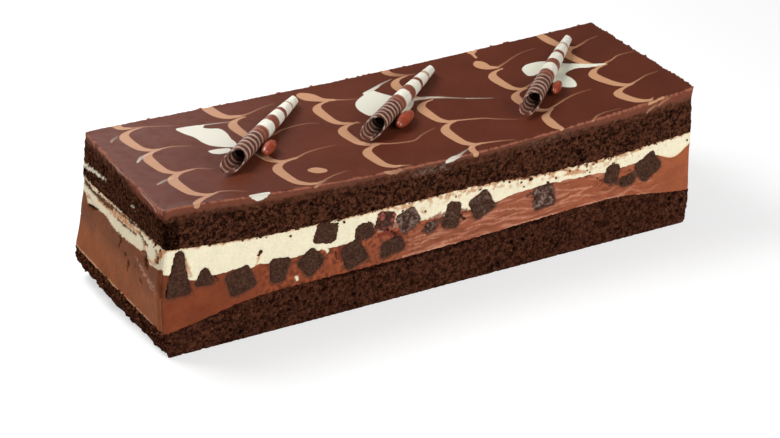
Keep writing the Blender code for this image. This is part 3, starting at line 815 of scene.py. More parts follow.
# Loose lines: (strength, then along, back and width in mm at each point)
LINES = (
    (1, 16, 91.8, 5, 16.8, 86.8, 3.4, 21, 85, 1.6),
    (0.55, 21, 85, 1.4, 29.3, 83.2, 1, 36, 80.7, 0.9, 43, 78.6, 0.9),
    (1, 29.3, 9, 0.9, 23.5, 6.9, 1.8, 19.3, 4.8, 2.6, 16.2, 2, 3.2, 15.2, -0.8, 2.8),
    (1, 62.7, 89, 5.8, 64.3, 81.5, 5.4, 67.7, 77.3, 3.8, 73.5, 76.1, 2),
    (0.6, 73.5, 76.1, 1.7, 79.3, 77.3, 1.2, 86, 79.8, 1, 93.5, 81.6, 0.9),
    (1, 110, 83.4, 6, 112.2, 80.6, 7.6, 116.8, 75.7, 3.6, 122, 73.4, 1.8),
    (0.6, 122, 73.4, 1.5, 127.7, 71.1, 1, 133.5, 69.6, 0.9),
    (1, 159.2, 92, 4.2, 158.8, 88.2, 4.4, 160.8, 84.8, 3.6, 165.8, 81.9, 2, 171.5, 81, 1),
    (1, 163.3, 6.9, 0.9, 158.6, 5.6, 2.4, 156.7, 2.3, 3.4, 157.2, -0.8, 3),
    (1, 208.6, 91.8, 7, 208, 89.8, 5, 207.4, 87.6, 2, 206.8, 83, 1.5),
    (1, 204.9, 78, 3.4, 204.8, 75, 7, 206.4, 71.2, 4.4, 210.8, 69, 1.8),
    (0.5, 210.8, 69, 1.6, 216.7, 71.5, 1, 223.3, 74.8, 0.9, 230, 77.3, 0.9, 238, 78.2, 0.9),
    (1, 211.7, 19.4, 0.9, 207.5, 16.9, 2, 204.2, 14, 4, 203.3, 9, 5, 203.3, 4.4, 4.6, 204.4, 1,
     2.8),
    (1, 248.8, 89.6, 4.6, 249.2, 83.2, 5.4, 250.2, 77, 4.8, 252.4, 71.4, 3.4, 256.5, 69.2, 1.8),
    (0.65, 256.5, 69.2, 1.6, 261.5, 70.8, 1.1, 266.7, 73.2, 0.9, 273, 74.6, 0.9),
    (0.55, 221.5, -0.5, 1.2, 225.8, 2.3, 1, 231.7, 3.2, 0.9, 239, 2.2, 0.9),
    (0.8, 73.4, -0.6, 1.3, 76, 0.8, 1.2, 80, 2.4, 0.9),
    (0.8, 254, -0.8, 1.8, 258, -0.4, 1.4, 262, 0, 1.6),
    (0.5, 252.5, -5.2, 0.8, 254.1, -4.4, 1.4, 256.6, -3, 1.3, 258.5, -2.4, 0.8),
    (0.5, 259.2, -3.6, 0.8, 260.9, -2.8, 1.3, 264.5, -1.6, 1.2, 266, -1.2, 0.8),
    (1, 78.4, 14.2, 3, 81, 13.2, 5.6, 83.8, 12, 3.6),
    (1, 109, 0.3, 1, 112, -0.3, 2, 116, -0.5, 2.2, 120, 0.3, 1),
)

# White pools: closed outlines of (along, back)
POOLS = (
    (40.2, 76.1, 47, 75.6, 53.5, 74.4, 52, 71.9, 54.3, 69.8, 58.5, 67.7, 59.6, 62.3, 58.9, 56.5,
     59.1, 51.5, 57.5, 48, 52.7, 49.4, 47.7, 52.8, 45.2, 57.3, 43.9, 64, 41.4, 69, 39.6, 74),
    (43.5, 48.8, 47.7, 49, 53.5, 47.7, 53, 44.4, 47.7, 43.8, 44.2, 46),
    (138, 72.4, 133, 69.4, 129.3, 65.7, 127.7, 60.7, 128.1, 56.5, 129.8, 52.3, 137, 48.4, 146,
     48.4, 152, 51.2, 156.4, 57.4, 153, 61, 148.8, 66, 146, 70, 143, 74.4),
    (219.2, 57.3, 220.4, 61.5, 224.2, 64.4, 230, 64.8, 235, 63.2, 238.5, 60, 241.7, 56.5, 246.7,
     53.2, 252.5, 49.4, 258.6, 46, 258.3, 45, 250, 46.4, 245, 48.6, 240, 48.6, 235.8, 46, 236.3,
     40.7, 235.4, 35.7, 233.3, 32.7, 230, 33.6, 226.7, 37.3, 226, 44, 226.5, 50, 224.2, 53.2,
     221.7, 52.7, 219.2, 54),
)

# White lines, given like the loose lines
WHITE_LINES = (
    (0.5, 53.5, 74.4, 1.2, 61.8, 73.2, 1, 68, 71.9, 0.9),
    (1, 139, 73, 3, 146.7, 76.6, 1.8, 150.8, 78.7, 1.2, 157.5, 81.1, 0.9),
    (0.9, 153, 58, 3, 162.5, 57.3, 2.4, 171.7, 53.2, 1.3, 180, 48.2, 1),
    (0.6, 180, 48.2, 0.9, 186, 45.2, 0.9, 192, 42.3, 0.9),
    (0.3, 6.8, 74.8, 1, 8.5, 76.9, 1.4, 11.8, 79.2, 0.9),
    (0.6, 9.3, 50.3, 1, 12.7, 54, 1.9, 16, 56, 1.2, 21.5, 57.4, 0.9),
    (0.4, 8.5, 26, 1, 12.7, 28.2, 1.6, 17.2, 30, 1),
    (1, 41.4, 0.4, 1.6, 45.4, 0.2, 2.8, 50.4, 0.8, 1.6),
    (1, 42.4, -0.8, 1.8, 45.2, -1.3, 2.8, 48.6, -0.6, 2),
    (0.3, -0.6, 24, 0.8, -0.9, 17, 1.2, -1.3, 11, 1.6, -2.4, 7, 1.1),
    (0.22, -1, 60, 0.9, -0.8, 50, 1.1, -1, 40, 0.9),
    (0.95, 141.6, -1, 1.6, 144.6, -0.3, 2.6, 147.6, 0.4, 2.2, 150, 1.6, 1.4, 153, 3.2, 1.1, 158,
     5.2, 0.8),
)


def through(points, step=0.3):
    """Points on a smooth curve through given ones, spaced by about step."""
    points = np.asarray(points, float)
    length = np.linalg.norm(np.diff(points[:, :2], axis=0), axis=1).sum()
    return curve_through(points, np.linspace(0.0, 1.0, max(3, int(length / step))))


class Paint:
    """Signed distances on the unrolled top, positive inside painted strokes."""

    def __init__(self):
        self.along = np.arange(-PAINT_MARGIN, LENGTH + PAINT_MARGIN, PAINT_CELL)
        self.back = np.arange(-PAINT_MARGIN, DEPTH + PAINT_MARGIN, PAINT_CELL)
        self.edge = np.full((len(self.along), len(self.back)), UNPAINTED)
        self.strength = np.zeros_like(self.edge)

    def window(self, low, high):
        i = np.searchsorted(self.along, (low[0], high[0]))
        j = np.searchsorted(self.back, (low[1], high[1]))
        return slice(*i), slice(*j)

    def dab(self, along, back, radius, strength):
        margin = radius + 2.5
        i, j = self.window((along - margin, back - margin), (along + margin, back + margin))
        away = np.hypot(self.along[i, None] - along, self.back[None, j] - back)
        self.put(i, j, radius - away, strength)

    def put(self, i, j, edge, strength):
        """Keep the greater distance in each cell of a window, with its strength."""
        nearer = edge > self.edge[i, j]
        self.edge[i, j] = np.where(nearer, edge, self.edge[i, j])
        self.strength[i, j] = np.where(nearer, strength, self.strength[i, j])

    def stroke(self, points, start=1.0, end=1.0):
        """Points (along, back, width); the strength goes from start to end."""
        places = through(points)
        for share, (along, back, width) in zip(np.linspace(0, 1, len(places)), places):
            self.dab(along, back, max(width, 0.8) / 2, start + (end - start) * share)

    def lines(self, table):
        """Lines that fade out where they end thin."""
        for strength, *points in table:
            end = strength if points[-1] > 1.0 else 0.15
            self.stroke(np.reshape(points, (-1, 3)), strength, end)

    def pool(self, outline):
        places = through(np.vstack((outline, outline[:1])), 0.5)[:-1]
        i, j = self.window(places.min(axis=0) - 3, places.max(axis=0) + 3)
        along, back = self.along[i, None], self.back[None, j]
        inside = np.zeros((along.size, back.size), bool)
        away = np.full(inside.shape, 9.0)
        for a, b in zip(places, np.roll(places, -1, axis=0)):
            crosses = (a[1] > back) != (b[1] > back)
            level = a[0] + (b[0] - a[0]) * (back - a[1]) / (b[1] - a[1] + 1e-12)
            inside ^= crosses & (along < level)
            away = np.minimum(away, np.hypot(along - a[0], back - a[1]))
        self.put(i, j, np.where(inside, away, -away), 1.0)

    def read(self, along, back):
        """Distances and strengths at any places, linear between the cells."""
        x = np.clip((along - self.along[0]) / PAINT_CELL, 0, len(self.along) - 1.001)
        y = np.clip((back - self.back[0]) / PAINT_CELL, 0, len(self.back) - 1.001)
        i, j = x.astype(int), y.astype(int)
        f, g = x - i, y - j
        found = []
        for grid in (self.edge, self.strength):
            near = grid[i, j] * (1 - f) + grid[i + 1, j] * f
            far = grid[i, j + 1] * (1 - f) + grid[i + 1, j + 1] * f
            found.append(near * (1 - g) + far * g)
        return found


def paint_tan():
    paint = Paint()
    for left, back_end, front_end, reach_right, *tail in STROKES:
        drop = back_end - front_end
        lean = 0.3 * float(smooth((left - 190.0) / 50.0))
        arc = [(left + (f + lean * g * g * (1 - f)) * reach_right, back_end - g * drop, width)
               for f, g, width in ARC]
        paint.stroke(arc)
        tail = [(*arc[-1][:2], 1.4)] + [(*place, 1.0) for place in np.reshape(tail, (-1, 2))]
        paint.stroke(tail, 0.85, 0.1)
    paint.lines(LINES)
    return paint


def paint_white():
    paint = Paint()
    for outline in POOLS:
        paint.pool(np.reshape(outline, (-1, 2)))
    paint.lines(WHITE_LINES)
    return paint


# At places along the cut front: strength and reach of the smooth ganache below the lip, and how
# far below it the sponge's crumb comes through, in mm
LIP_PLACES = (0, 60, 110, 200, 240, 280)
LIP_SHARES = (0.8, 0.7, 0.3, 0.35, 0.9, 1.0)
LIP_REACHES = (3.4, 3.0, 1.4, 1.8, 3.8, 4.6)
CRUMB_STARTS = (4.2, 3.8, 2.4, 2.6, 4.8, 6.2)
# Where a painted grey highlight shows on that crumb, with its strength
GREY_PLACES = (120, 127, 134, 141, 145, 180, 188, 200, 208, 214)
GREY_SHARES = (0.0, 0.7, 0.5, 0.9, 0.0, 0.0, 0.2, 0.2, 0.15, 0.0)


def ganache_top():
    """The top's grid, how ragged and how far in each point is, and how far the rim sticks out."""
    s, t = PLAN_ALONG / LENGTH, PLAN_BACK / DEPTH
    z = top_height(s, t)
    plan = np.stack((PLAN_ALONG, PLAN_BACK, z), axis=-1)
    inset = np.minimum(np.minimum(PLAN_ALONG, LENGTH - PLAN_ALONG),
                       np.minimum(PLAN_BACK, DEPTH - PLAN_BACK))
    near = inset < 4
    edge = plan[near]
    rough = noise_at(edge, 1.9, 3, 24.0) + 0.6 * noise_at(edge, 7.0, 1, 25.0)
    bumps = 0.8 * smooth((noise_at(edge, 3.0, 2, 29.0) - 0.35) / 0.15)
    ragged = np.zeros_like(z)
    ragged[near] = np.where(DEPTH - edge[:, 1] < 4, 0.3 * rough - 0.2 + bumps, rough)
    ridge = 0.45 * np.exp(-inset / 0.9) * (0.5 + ragged) - 0.3 * np.exp(-inset / 0.25)
    ridge += 0.9 * np.exp(-PLAN_BACK / 2.2) * smooth(PLAN_ALONG / 5) * (
        1.0 - smooth((PLAN_ALONG - 16) / 30))
    ridge -= 0.9 * np.exp(-PLAN_ALONG / 1.2) * (0.7 + 0.6 * ragged)
    z = z + 0.08 * noise_at(plan, 24.0, 2, 26.0) + ridge
    top = np.stack((PLAN_ALONG + end_shift(s, t, z), PLAN_BACK, z), axis=-1)
    out = np.clip(0.25 + 0.45 * ragged[RIM], -0.3, LIP)
    top[RIM] = push_out(top[RIM], out)
    return top, ragged, inset, out


def ganache_side(rim_height, ragged, out):
    """Points down the ganache's sides, their distance below the rim, and their values."""
    side = side_points(ganache_under(RIM_S, RIM_T) - 0.1, rim_height, GANACHE_ROWS)
    below = side[-1, :, 2] - side[..., 2]
    start = np.where(AT_LEFT, 2.2, np.interp(RIM_ALONG, LIP_PLACES, CRUMB_STARTS))
    crumb = smooth((below - start + 1.3 * noise_at(side, 3.0, 3, 33.0)) / 1.2 + 0.5)
    relief = sponge_relief(side)
    drips = AT_LEFT * smooth((noise_at(side * (1, 1, 0.3), 4.6, 3, 30.0) + 0.1) / 0.3)
    drips = 0.6 * drips * smooth((2.6 + 4.0 * noise_at(side * (1, 1, 0), 9.0, 1, 34.0) - below) / 2)
    depth = 0.16 * noise_at(side, 5.0, 2, 27.0) + 0.1 * noise_at(side, 1.4, 2, 28.0)
    depth = depth * (1 - crumb) + (0.2 + relief) * crumb + 0.6 * drips
    depth = np.clip(depth, -1.5, 0.6) + (out - depth) * np.exp(-below / 0.9)
    side = push_out(side, depth + corner_gap(side, 58, 66, 1.2))[:-1]
    below, crumb, relief, drips = below[:-1], crumb[:-1], relief[:-1], drips[:-1]
    # Painted highlight along the lip and down the drips of the left end, carried as the rim value
    width = 0.9 + 0.9 * smooth((RIM_S - 0.7) / 0.2) * AT_FRONT
    shine = (np.exp(-below / width) + 0.8 * drips) * (0.85 + 0.5 * ragged)
    # Painted grey highlight below the lip on the front
    grey = np.interp(RIM_ALONG, GREY_PLACES, GREY_SHARES) * AT_FRONT * bell(below, 3.4, 1.6)
    return side, below, {"rim": shine, "side": smooth(below / 0.9), "crumb": crumb, "grey": grey,
                         "relief": 0.5 + relief, "band": lip_band(side, below)}


def lip_band(side, below):
    """Smooth reddish ganache that has run a little way down below the lip."""
    end = smooth((48 - RIM_BACK) / 20)
    share = np.where(AT_LEFT, 0.4 + 0.6 * end, np.interp(RIM_ALONG, LIP_PLACES, LIP_SHARES))
    reach = np.where(AT_LEFT, 1.6 + 2.6 * end, np.interp(RIM_ALONG, LIP_PLACES, LIP_REACHES))
    reach = reach + 0.9 * noise_at(side * (1, 1, 0.3), 4.0, 3, 35.0)
    return share * smooth((reach - below) / 1.4 + 0.5)


def make_ganache(material):
    """Ganache: its sides, the grid of its top and a cap below, with the painted pattern."""
    top, ragged, inset, out = ganache_top()
    side, below, values = ganache_side(top[RIM][:, 2], ragged[RIM], out)
    columns, first = side.shape[1], side[..., 0].size
    index = first + np.arange(inset.size).reshape(inset.shape)
    last, edge = first - columns + np.arange(columns), index[RIM]
    faces = wall_faces(GANACHE_ROWS - 1, columns)
    faces += np.stack((last, np.roll(last, -1), np.roll(edge, -1), edge), axis=-1).tolist()
    faces += grid_quads(index).tolist()
    extra, triangles = cap_faces(side[0], 0, first + inset.size, ganache_under)
    faces += [face[::-1] for face in triangles]
    points = np.vstack((side.reshape(-1, 3), top.reshape(-1, 3), extra))
    # Painted highlight along the top's edge at the lip
    on_top = {"rim": np.exp(-inset / 0.7) * (0.8 + 0.5 * ragged)}
    values = {name: np.concatenate((part.ravel(), on_top.get(name, 0 * inset).ravel()))
              for name, part in values.items()}
    along = np.concatenate(((RIM_ALONG + RIM_OUT[:, 0] * below).ravel(), PLAN_ALONG.ravel()))
    back = np.concatenate(((RIM_BACK + RIM_OUT[:, 1] * below).ravel(), PLAN_BACK.ravel()))
    for name, paint in (("tan", paint_tan()), ("white", paint_white())):
        values[name], values[name + "_strength"] = paint.read(along, back)
    under = {"tan": UNPAINTED, "white": UNPAINTED, "side": 1, "relief": 0.5}
    values = {name: extend(value, points, under.get(name, 0)) for name, value in values.items()}
    make_piece("feathered_ganache", points, faces, material, "ganache", ["ganache"], **values)


# ---- Curls and beans

def make_curl(number, curl, material):
    """A sheet rolled into a tapering tube and cut at a slant at its mouth."""
    mouth, tip = curl_ends(curl)
    length = (tip - mouth).length
    rounds, longs = 96, 130
    share_long, share_round = np.meshgrid(np.linspace(0, 1, longs + 1),
                                          np.linspace(0, 1, rounds + 1), indexing="ij")
    angle = CURL_EDGE_SIDE + share_round * CURL_TURNS * 2 * np.pi
    start = -CURL_MOUTH_CUT / 2 * np.cos(angle - CURL_LONG_SIDE)
    end = length - CURL_TIP_CUT / 2 * (1 - np.cos(angle - CURL_LONG_SIDE))
    x = start + (end - start) * share_long
    radius = curl_radius(curl, x / length) - share_round * CURL_TURNS * CURL_STEP
    way = np.stack((x / 9.0, np.cos(angle), np.sin(angle)), axis=-1)
    radius = radius - 0.06 + 0.06 * noise_at(way, 0.7, 2, 50.0 + number)
    ahead = (tip - mouth).normalized()
    level = Vector((0, 0, 1)).cross(ahead).normalized()
    turn = np.array(Matrix((ahead, level, ahead.cross(level))))
    layers = []
    for thickness in (0.0, CURL_SHEET):
        r = radius - thickness
        local = np.stack((x, -r * np.cos(angle), r * np.sin(angle)), axis=-1)
        layers.append(local @ turn + np.array(mouth))
    points = np.concatenate([layer.reshape(-1, 3) for layer in layers])
    count = x.size
    index = np.arange(count).reshape(x.shape)
    outer = grid_quads(index)
    faces = outer.tolist() + (outer[:, ::-1] + count).tolist()
    edge = np.concatenate((index[:, 0], index[-1, 1:], index[-2::-1, -1], index[0, -2:0:-1]))
    after = np.roll(edge, -1)
    faces += np.stack((after, edge, edge + count, after + count), axis=-1).tolist()
    item = make_piece(f"striped_curl_{number}", points, faces, material, "curl",
                      [f"curl_{number}"], run=np.tile((x / length).ravel(), 2),
                      inside=np.repeat((0.0, 1.0), count))
    item.data.set_sharp_from_angle(angle=math.radians(50))


def make_bean(number, bean, curl, material):
    spot, ahead = bean_spot(bean, curl)
    shape = bmesh.new()
    bmesh.ops.create_uvsphere(shape, u_segments=48, v_segments=32, radius=0.5)
    turned = Matrix.Rotation(math.atan2(ahead.y, ahead.x), 4, "Z")
    for vert in shape.verts:
        way = vert.co.normalized()
        groove = 0.035 * math.exp(-(way.y / 0.16) ** 2) * max(0.0, way.z)
        lumps = 0.02 * noise.noise(way * 2.2 + Vector((number, 0, 0)))
        vert.co *= 1.0 - groove + lumps
    bmesh.ops.transform(shape, matrix=turned @ Matrix.Diagonal((*bean[1:], 1.0)),
                        verts=shape.verts)
    points = np.array([vert.co + spot for vert in shape.verts])
    faces = [[vert.index for vert in face.verts] for face in shape.faces]
    shape.free()
    make_piece(f"glazed_bean_{number}", points, faces, material, "bean", [f"bean_{number}"])


# ---- Crumbs

def make_crumbs(material):
    """Loose crumbs pressed into the mousse below the top sponge and along the layers."""
    draw = random.Random(5)
    ball = bmesh.new()
    bmesh.ops.create_icosphere(ball, subdivisions=2, radius=1.0)
    ball_points = np.array([vert.co for vert in ball.verts])
    ball_faces = np.array([[vert.index for vert in face.verts] for face in ball.faces])
    ball.free()
    points, faces, total = [], [], 0
    for s, t, z, size in crumb_places(draw):
        spin = Matrix.Rotation(draw.uniform(0, 6), 3, "Z") @ Matrix.Rotation(draw.random(), 3, "X")
        form = ball_points * size * (1 + 0.6 * noise_at(ball_points, 0.9, 2, total)[:, None])
        form = form * (1.2, 0.8, draw.uniform(0.6, 1.0)) @ np.array(spin)
        place = np.array((s * LENGTH, t * DEPTH, z))
        place[0] += float(end_shift(np.array(s), np.array(t), np.array(z)))
        place[0] += float(worn_corner(place))
        points.append(form + place)
        faces += (ball_faces + total).tolist()
        total += len(ball_points)
    make_piece("loose_crumbs", np.vstack(points), faces, material, "top_sponge", [])


# How many small crumbs lie below the top sponge along both long sides, on the bottom sponge at
# both ends, and below the top sponge at the left end
CRUMBS_UNDER_TOP, CRUMBS_ON_BASE, CRUMBS_AT_END = 110, 150, 22
# Crumbs that show in the cut front: (along, up, radius)
FRONT_CRUMBS = np.reshape((
    45.6, 42.4, 1.1, 44.8, 41.2, 0.9, 60.7, 46.5, 0.7, 8.9, 46.9, 0.6, 9.3, 42.4, 0.5, 182.7,
     44.7, 0.6, 184.4, 42.1, 0.6, 202.2, 42.6, 0.6, 197.9, 41.3, 0.8, 220.1, 42.4, 0.5, 221.5,
     41.2, 0.5, 219.6, 39.3, 0.6, 226.1, 36.7, 0.5, 210, 44.6, 0.7, 234.9, 42.6, 0.8, 130.6, 42.2,
     0.6, 160, 46.4, 0.7, 147, 45.9, 0.5, 118.5, 45.2, 0.6, 106, 46.6, 0.6, 88, 46.9, 0.8, 84.6,
     47, 0.7, 277.4, 45.6, 0.6, 187.8, 45.4, 0.9, 176, 46.6, 0.6
), (-1, 3))


def crumb_places(draw):
    """Shares along and back, height and radius in mm of each crumb."""
    places = [(along / LENGTH, 0.0, up, size) for along, up, size in FRONT_CRUMBS]
    for _ in range(CRUMBS_UNDER_TOP):
        s, t = draw.uniform(0.02, 0.98), float(draw.random() < 0.5)
        z = float(sponge_under(np.array(s), np.array(t))) - abs(draw.gauss(0.0, 0.5))
        places.append((s, t, z, draw.uniform(0.3, 0.6)))
    for _ in range(CRUMBS_ON_BASE):
        s, t = (0.0, 1.0)[draw.random() < 0.2], draw.uniform(0.02, 0.96)
        top = float(base_top(np.array(s), np.array(t)))
        places.append((s, t, top - abs(draw.gauss(0.0, 3.5)) + 0.4, draw.uniform(0.4, 1.0)))
    for _ in range(CRUMBS_AT_END):
        t = draw.random()
        z = float(sponge_under(np.array(0.0), np.array(t))) + draw.gauss(0.0, 1.0)
        places.append((0.0, t, z, draw.uniform(0.3, 0.7)))
    return places


# ---- Materials

class Shader:
    """A node material; each method adds nodes and gives back an output."""

    def __init__(self, name, roughness, **sockets):
        self.material = bpy.data.materials.new(name)
        self.material.use_nodes = True
        self.tree = self.material.node_tree
        self.surface = self.tree.nodes["Principled BSDF"]
        for label, value in {"Roughness": roughness, **sockets}.items():
            self.set(label.replace("_", " "), value)
        self.place = self.add("TexCoord").outputs["Object"]

    def feed(self, socket, value):
        if isinstance(value, bpy.types.NodeSocket):
            self.tree.links.new(value, socket)
        else:
            socket.default_value = (*value, 1.0) if isinstance(value, np.ndarray) else value

    def set(self, label, value):
        self.feed(self.surface.inputs[label], value)

    def add(self, kind, inputs=(), **settings):
        node = self.tree.nodes.new("ShaderNode" + kind)
        for label, value in settings.items():
            setattr(node, label, value)
        for label, value in dict(inputs).items():
            self.feed(node.inputs[label], value)
        return node

    def value(self, name):
        return self.add("Attribute", attribute_name=name).outputs["Fac"]

    def colour(self, name):
        return self.add("Attribute", attribute_name=name).outputs["Color"]

    def noise(self, size, detail=3.0, rough=0.55):
        inputs = {"Vector": self.place, "Scale": 1 / (size * MM), "Detail": detail,
                  "Roughness": rough}
        return self.add("TexNoise", inputs).outputs["Fac"]

    def cells(self, size):
        inputs = {"Vector": self.place, "Scale": 1 / (size * MM)}
        return self.add("TexVoronoi", inputs).outputs["Distance"]

    def spread(self, value, low, high, to_low=0.0, to_high=1.0):
        inputs = {"Value": value, "From Min": low, "From Max": high, "To Min": to_low,
                  "To Max": to_high}
        node = self.add("MapRange", inputs, interpolation_type="SMOOTHSTEP")
        return node.outputs["Result"]

    def maths(self, operation, a, b=0.0):
        return self.add("Math", {0: a, 1: b}, operation=operation).outputs["Value"]

    def times(self, a, b):
        return self.maths("MULTIPLY", a, b)

    def mix(self, share, a, b, mode="MIX"):
        inputs = {0: share, 6: a, 7: b}
        return self.add("Mix", inputs, data_type="RGBA", blend_type=mode).outputs[2]

    def shaded(self, tone, share):
        grey = self.add("CombineColor", {"Red": share, "Green": share, "Blue": share})
        return self.mix(1.0, tone, grey.outputs[0], "MULTIPLY")

    def ramp(self, value, stops):
        node = self.add("ValToRGB", {"Fac": value})
        ramp = node.color_ramp
        while len(ramp.elements) < len(stops):
            ramp.elements.new(0.5)
        for element, (place, colour) in zip(ramp.elements, stops):
            element.position = place
            element.color = (*colour, 1.0)
        return node.outputs["Color"]

    def bump(self, *heights):
        """Heights given as (output, distance in mm)."""
        normal = None
        for height, distance in heights:
            inputs = {"Height": height, "Distance": distance * MM, "Strength": 1.0}
            if normal:
                inputs["Normal"] = normal
            normal = self.add("Bump", inputs).outputs["Normal"]
        self.set("Normal", normal)


CRUMB_DARK, CRUMB_LIGHT = linear(32, 15, 10), linear(88, 52, 36)
CRUMB_HIGHLIGHT = linear(118, 84, 62)


def crumb_tone(m, dark, light):
    """Fine soft crumb: its small dark pores are painted shade, its pits and hollows are darkened by
    their relief as painted shade, and its scattered light grains are painted highlights on the
    crumbs.
    """
    tone = m.mix(m.spread(m.noise(1.6, 3.0, 0.66), 0.38, 0.64), dark, light)
    # Dark pores: painted shade
    pores = m.spread(m.cells(1.8), 0.06, 0.34, 0.4, 1.0)
    tone = m.shaded(tone, pores)
    # Darker in pits and hollows: painted shade
    relief = m.spread(m.value("relief"), -0.3, 0.9, 0.25, 1.3)
    tone = m.shaded(tone, relief)
    grain_highlights = m.spread(m.noise(1.1, 1.0, 0.5), 0.68, 0.76, 0.0, 0.6)
    return m.mix(grain_highlights, tone, CRUMB_HIGHLIGHT)


def sponge_material(name, dark, light, smear):
    m = Shader(name, 0.95, Specular_IOR_Level=0.0)
    tone = crumb_tone(m, dark, light)
    tone = m.mix(m.value("smear"), tone, smear)
    m.set("Base Color", tone)
    m.bump((m.spread(m.cells(1.3), 0.1, 0.5), 0.4), (m.noise(0.8, 3.0, 0.6), 0.6))
    return m.material


def loose_crumb_material():
    m = Shader("loose_crumb", 0.95, Specular_IOR_Level=0.0)
    m.set("Base Color", m.mix(m.spread(m.noise(1.2), 0.35, 0.65), linear(56, 30, 20),
                              linear(116, 70, 46)))
    m.bump((m.noise(0.7, 3.0, 0.6), 0.3))
    return m.material


def mousse_material(name, roughness, depth):
    m = Shader(name, roughness, Specular_IOR_Level=0.04)
    cloud = m.spread(m.noise(6.0, 3.0), 0.3, 0.7, 1.0 - 0.08 * depth, 1.0 + 0.07 * depth)
    tone = m.shaded(m.colour("tone"), cloud)
    fine = m.spread(m.noise(0.8, 3.0, 0.65), 0.3, 0.7, 0.93, 1.06)
    m.set("Base Color", m.shaded(tone, fine))
    bubbles = m.spread(m.cells(1.1), 0.05, 0.4)
    m.bump((bubbles, 0.1 * depth), (m.noise(1.6, 4.0, 0.6), 0.3 * depth))
    return m.material


def ganache_material():
    m = Shader("ganache_gloss", 0.4, Specular_IOR_Level=0.2)
    cloud = m.spread(m.noise(22.0, 3.0), 0.3, 0.7)
    tone = m.mix(cloud, linear(90, 41, 25), linear(97, 46, 29))
    side = m.value("side")
    matte = m.mix(m.noise(2.4, 4.0, 0.6), linear(72, 38, 26), linear(108, 64, 46))
    covered = m.times(m.value("crumb"), 0.72)
    matte = m.mix(covered, matte, crumb_tone(m, CRUMB_DARK, CRUMB_LIGHT))
    run_down = m.mix(m.noise(3.0, 3.0, 0.6), linear(92, 45, 32), linear(128, 71, 50))
    matte = m.mix(m.value("band"), matte, run_down)
    # Painted grey highlight on the crumb below the lip
    grey = m.times(m.value("grey"), m.spread(m.noise(1.8, 3.0, 0.65), 0.42, 0.62))
    matte = m.mix(grey, matte, linear(128, 108, 96))
    tone = m.mix(side, tone, matte)
    # Painted highlight along the lip
    rim = m.spread(m.times(m.value("rim"), m.noise(2.4, 3.0, 0.6)), 0.12, 0.42)
    tone = m.mix(m.times(rim, 0.8), tone, linear(164, 98, 74))
    tan = m.spread(m.value("tan"), -0.3, 0.3)
    tan = m.times(tan, m.value("tan_strength"))
    along = m.spread(m.add("SeparateXYZ", {"Vector": m.place}).outputs["X"], -0.14, 0.14)
    tone = m.mix(tan, tone, m.mix(along, linear(184, 137, 107), linear(204, 152, 114)))
    # The white is painted lighter towards the right to make up for the dimmer light there
    white = m.spread(m.value("white"), -0.3, 0.3)
    white = m.times(white, m.value("white_strength"))
    tone = m.mix(white, tone, m.mix(along, linear(217, 213, 199), linear(234, 232, 214)))
    m.set("Base Color", tone)
    m.set("Roughness", m.spread(m.maths("ADD", side, m.noise(5.0)), 0.3, 1.4, 0.36, 0.9))
    m.set("Specular IOR Level", m.spread(m.value("crumb"), 0.1, 0.7, 0.2, 0.02))
    m.bump((m.noise(9.0, 3.0, 0.5), 0.12),
           (m.times(m.value("crumb"), m.noise(0.8, 3.0, 0.6)), 0.6))
    return m.material


def brownie_material():
    m = Shader("brownie_crumb", 0.95, Specular_IOR_Level=0.04)
    grain = m.spread(m.noise(0.9, 3.0, 0.6), 0.34, 0.7)
    tone = m.mix(grain, linear(56, 35, 26), linear(84, 58, 46))
    # Painted shade: darker in the chunks' pits and hollows, from their relief
    relief = m.spread(m.value("relief"), -0.1, 0.7, 0.45, 1.05)
    tone = m.shaded(tone, relief)
    frost = m.times(m.value("frost"), m.spread(m.noise(1.8, 4.0, 0.7), 0.4, 0.66))
    tone = m.mix(m.maths("MAXIMUM", frost, 0.0), tone, linear(150, 128, 118))
    red = m.maths("MAXIMUM", m.times(m.value("frost"), -1.3), 0.0)
    wet = m.spread(m.noise(1.6, 4.0, 0.7), 0.4, 0.62)
    wet = m.mix(wet, linear(54, 18, 16), linear(150, 86, 74))
    tone = m.mix(m.maths("MINIMUM", red, 1.0), tone, wet)
    m.set("Base Color", tone)
    m.bump((m.noise(0.9, 3.0, 0.6), 0.35))
    return m.material


CURL_WHITE, CURL_BROWN = linear(240, 236, 220), linear(132, 72, 52)
CURL_FAINT = linear(190, 155, 127)
CURL_DARK, CURL_RING = linear(92, 56, 44), linear(196, 160, 140)
CURL_MOUTH, CURL_INSIDE_SHADE = linear(120, 66, 50), linear(44, 22, 17)
# Where the bands of each curl end, then the pitch of its rings and the place of one of them
CURL_BANDS = (
    (0.345, 0.435, 0.532, 0.612, 0.706, 0.75, 0.842, 0.862),
    (0.335, 0.413, 0.51, 0.588, 0.688, 0.727, 0.826, 0.856),
    (0.33, 0.405, 0.505, 0.57, 0.67, 0.71, 0.816, 0.842),
)
CURL_RINGS = ((0.0488, 0.084), (0.0444, 0.096), (0.0487, 0.312))


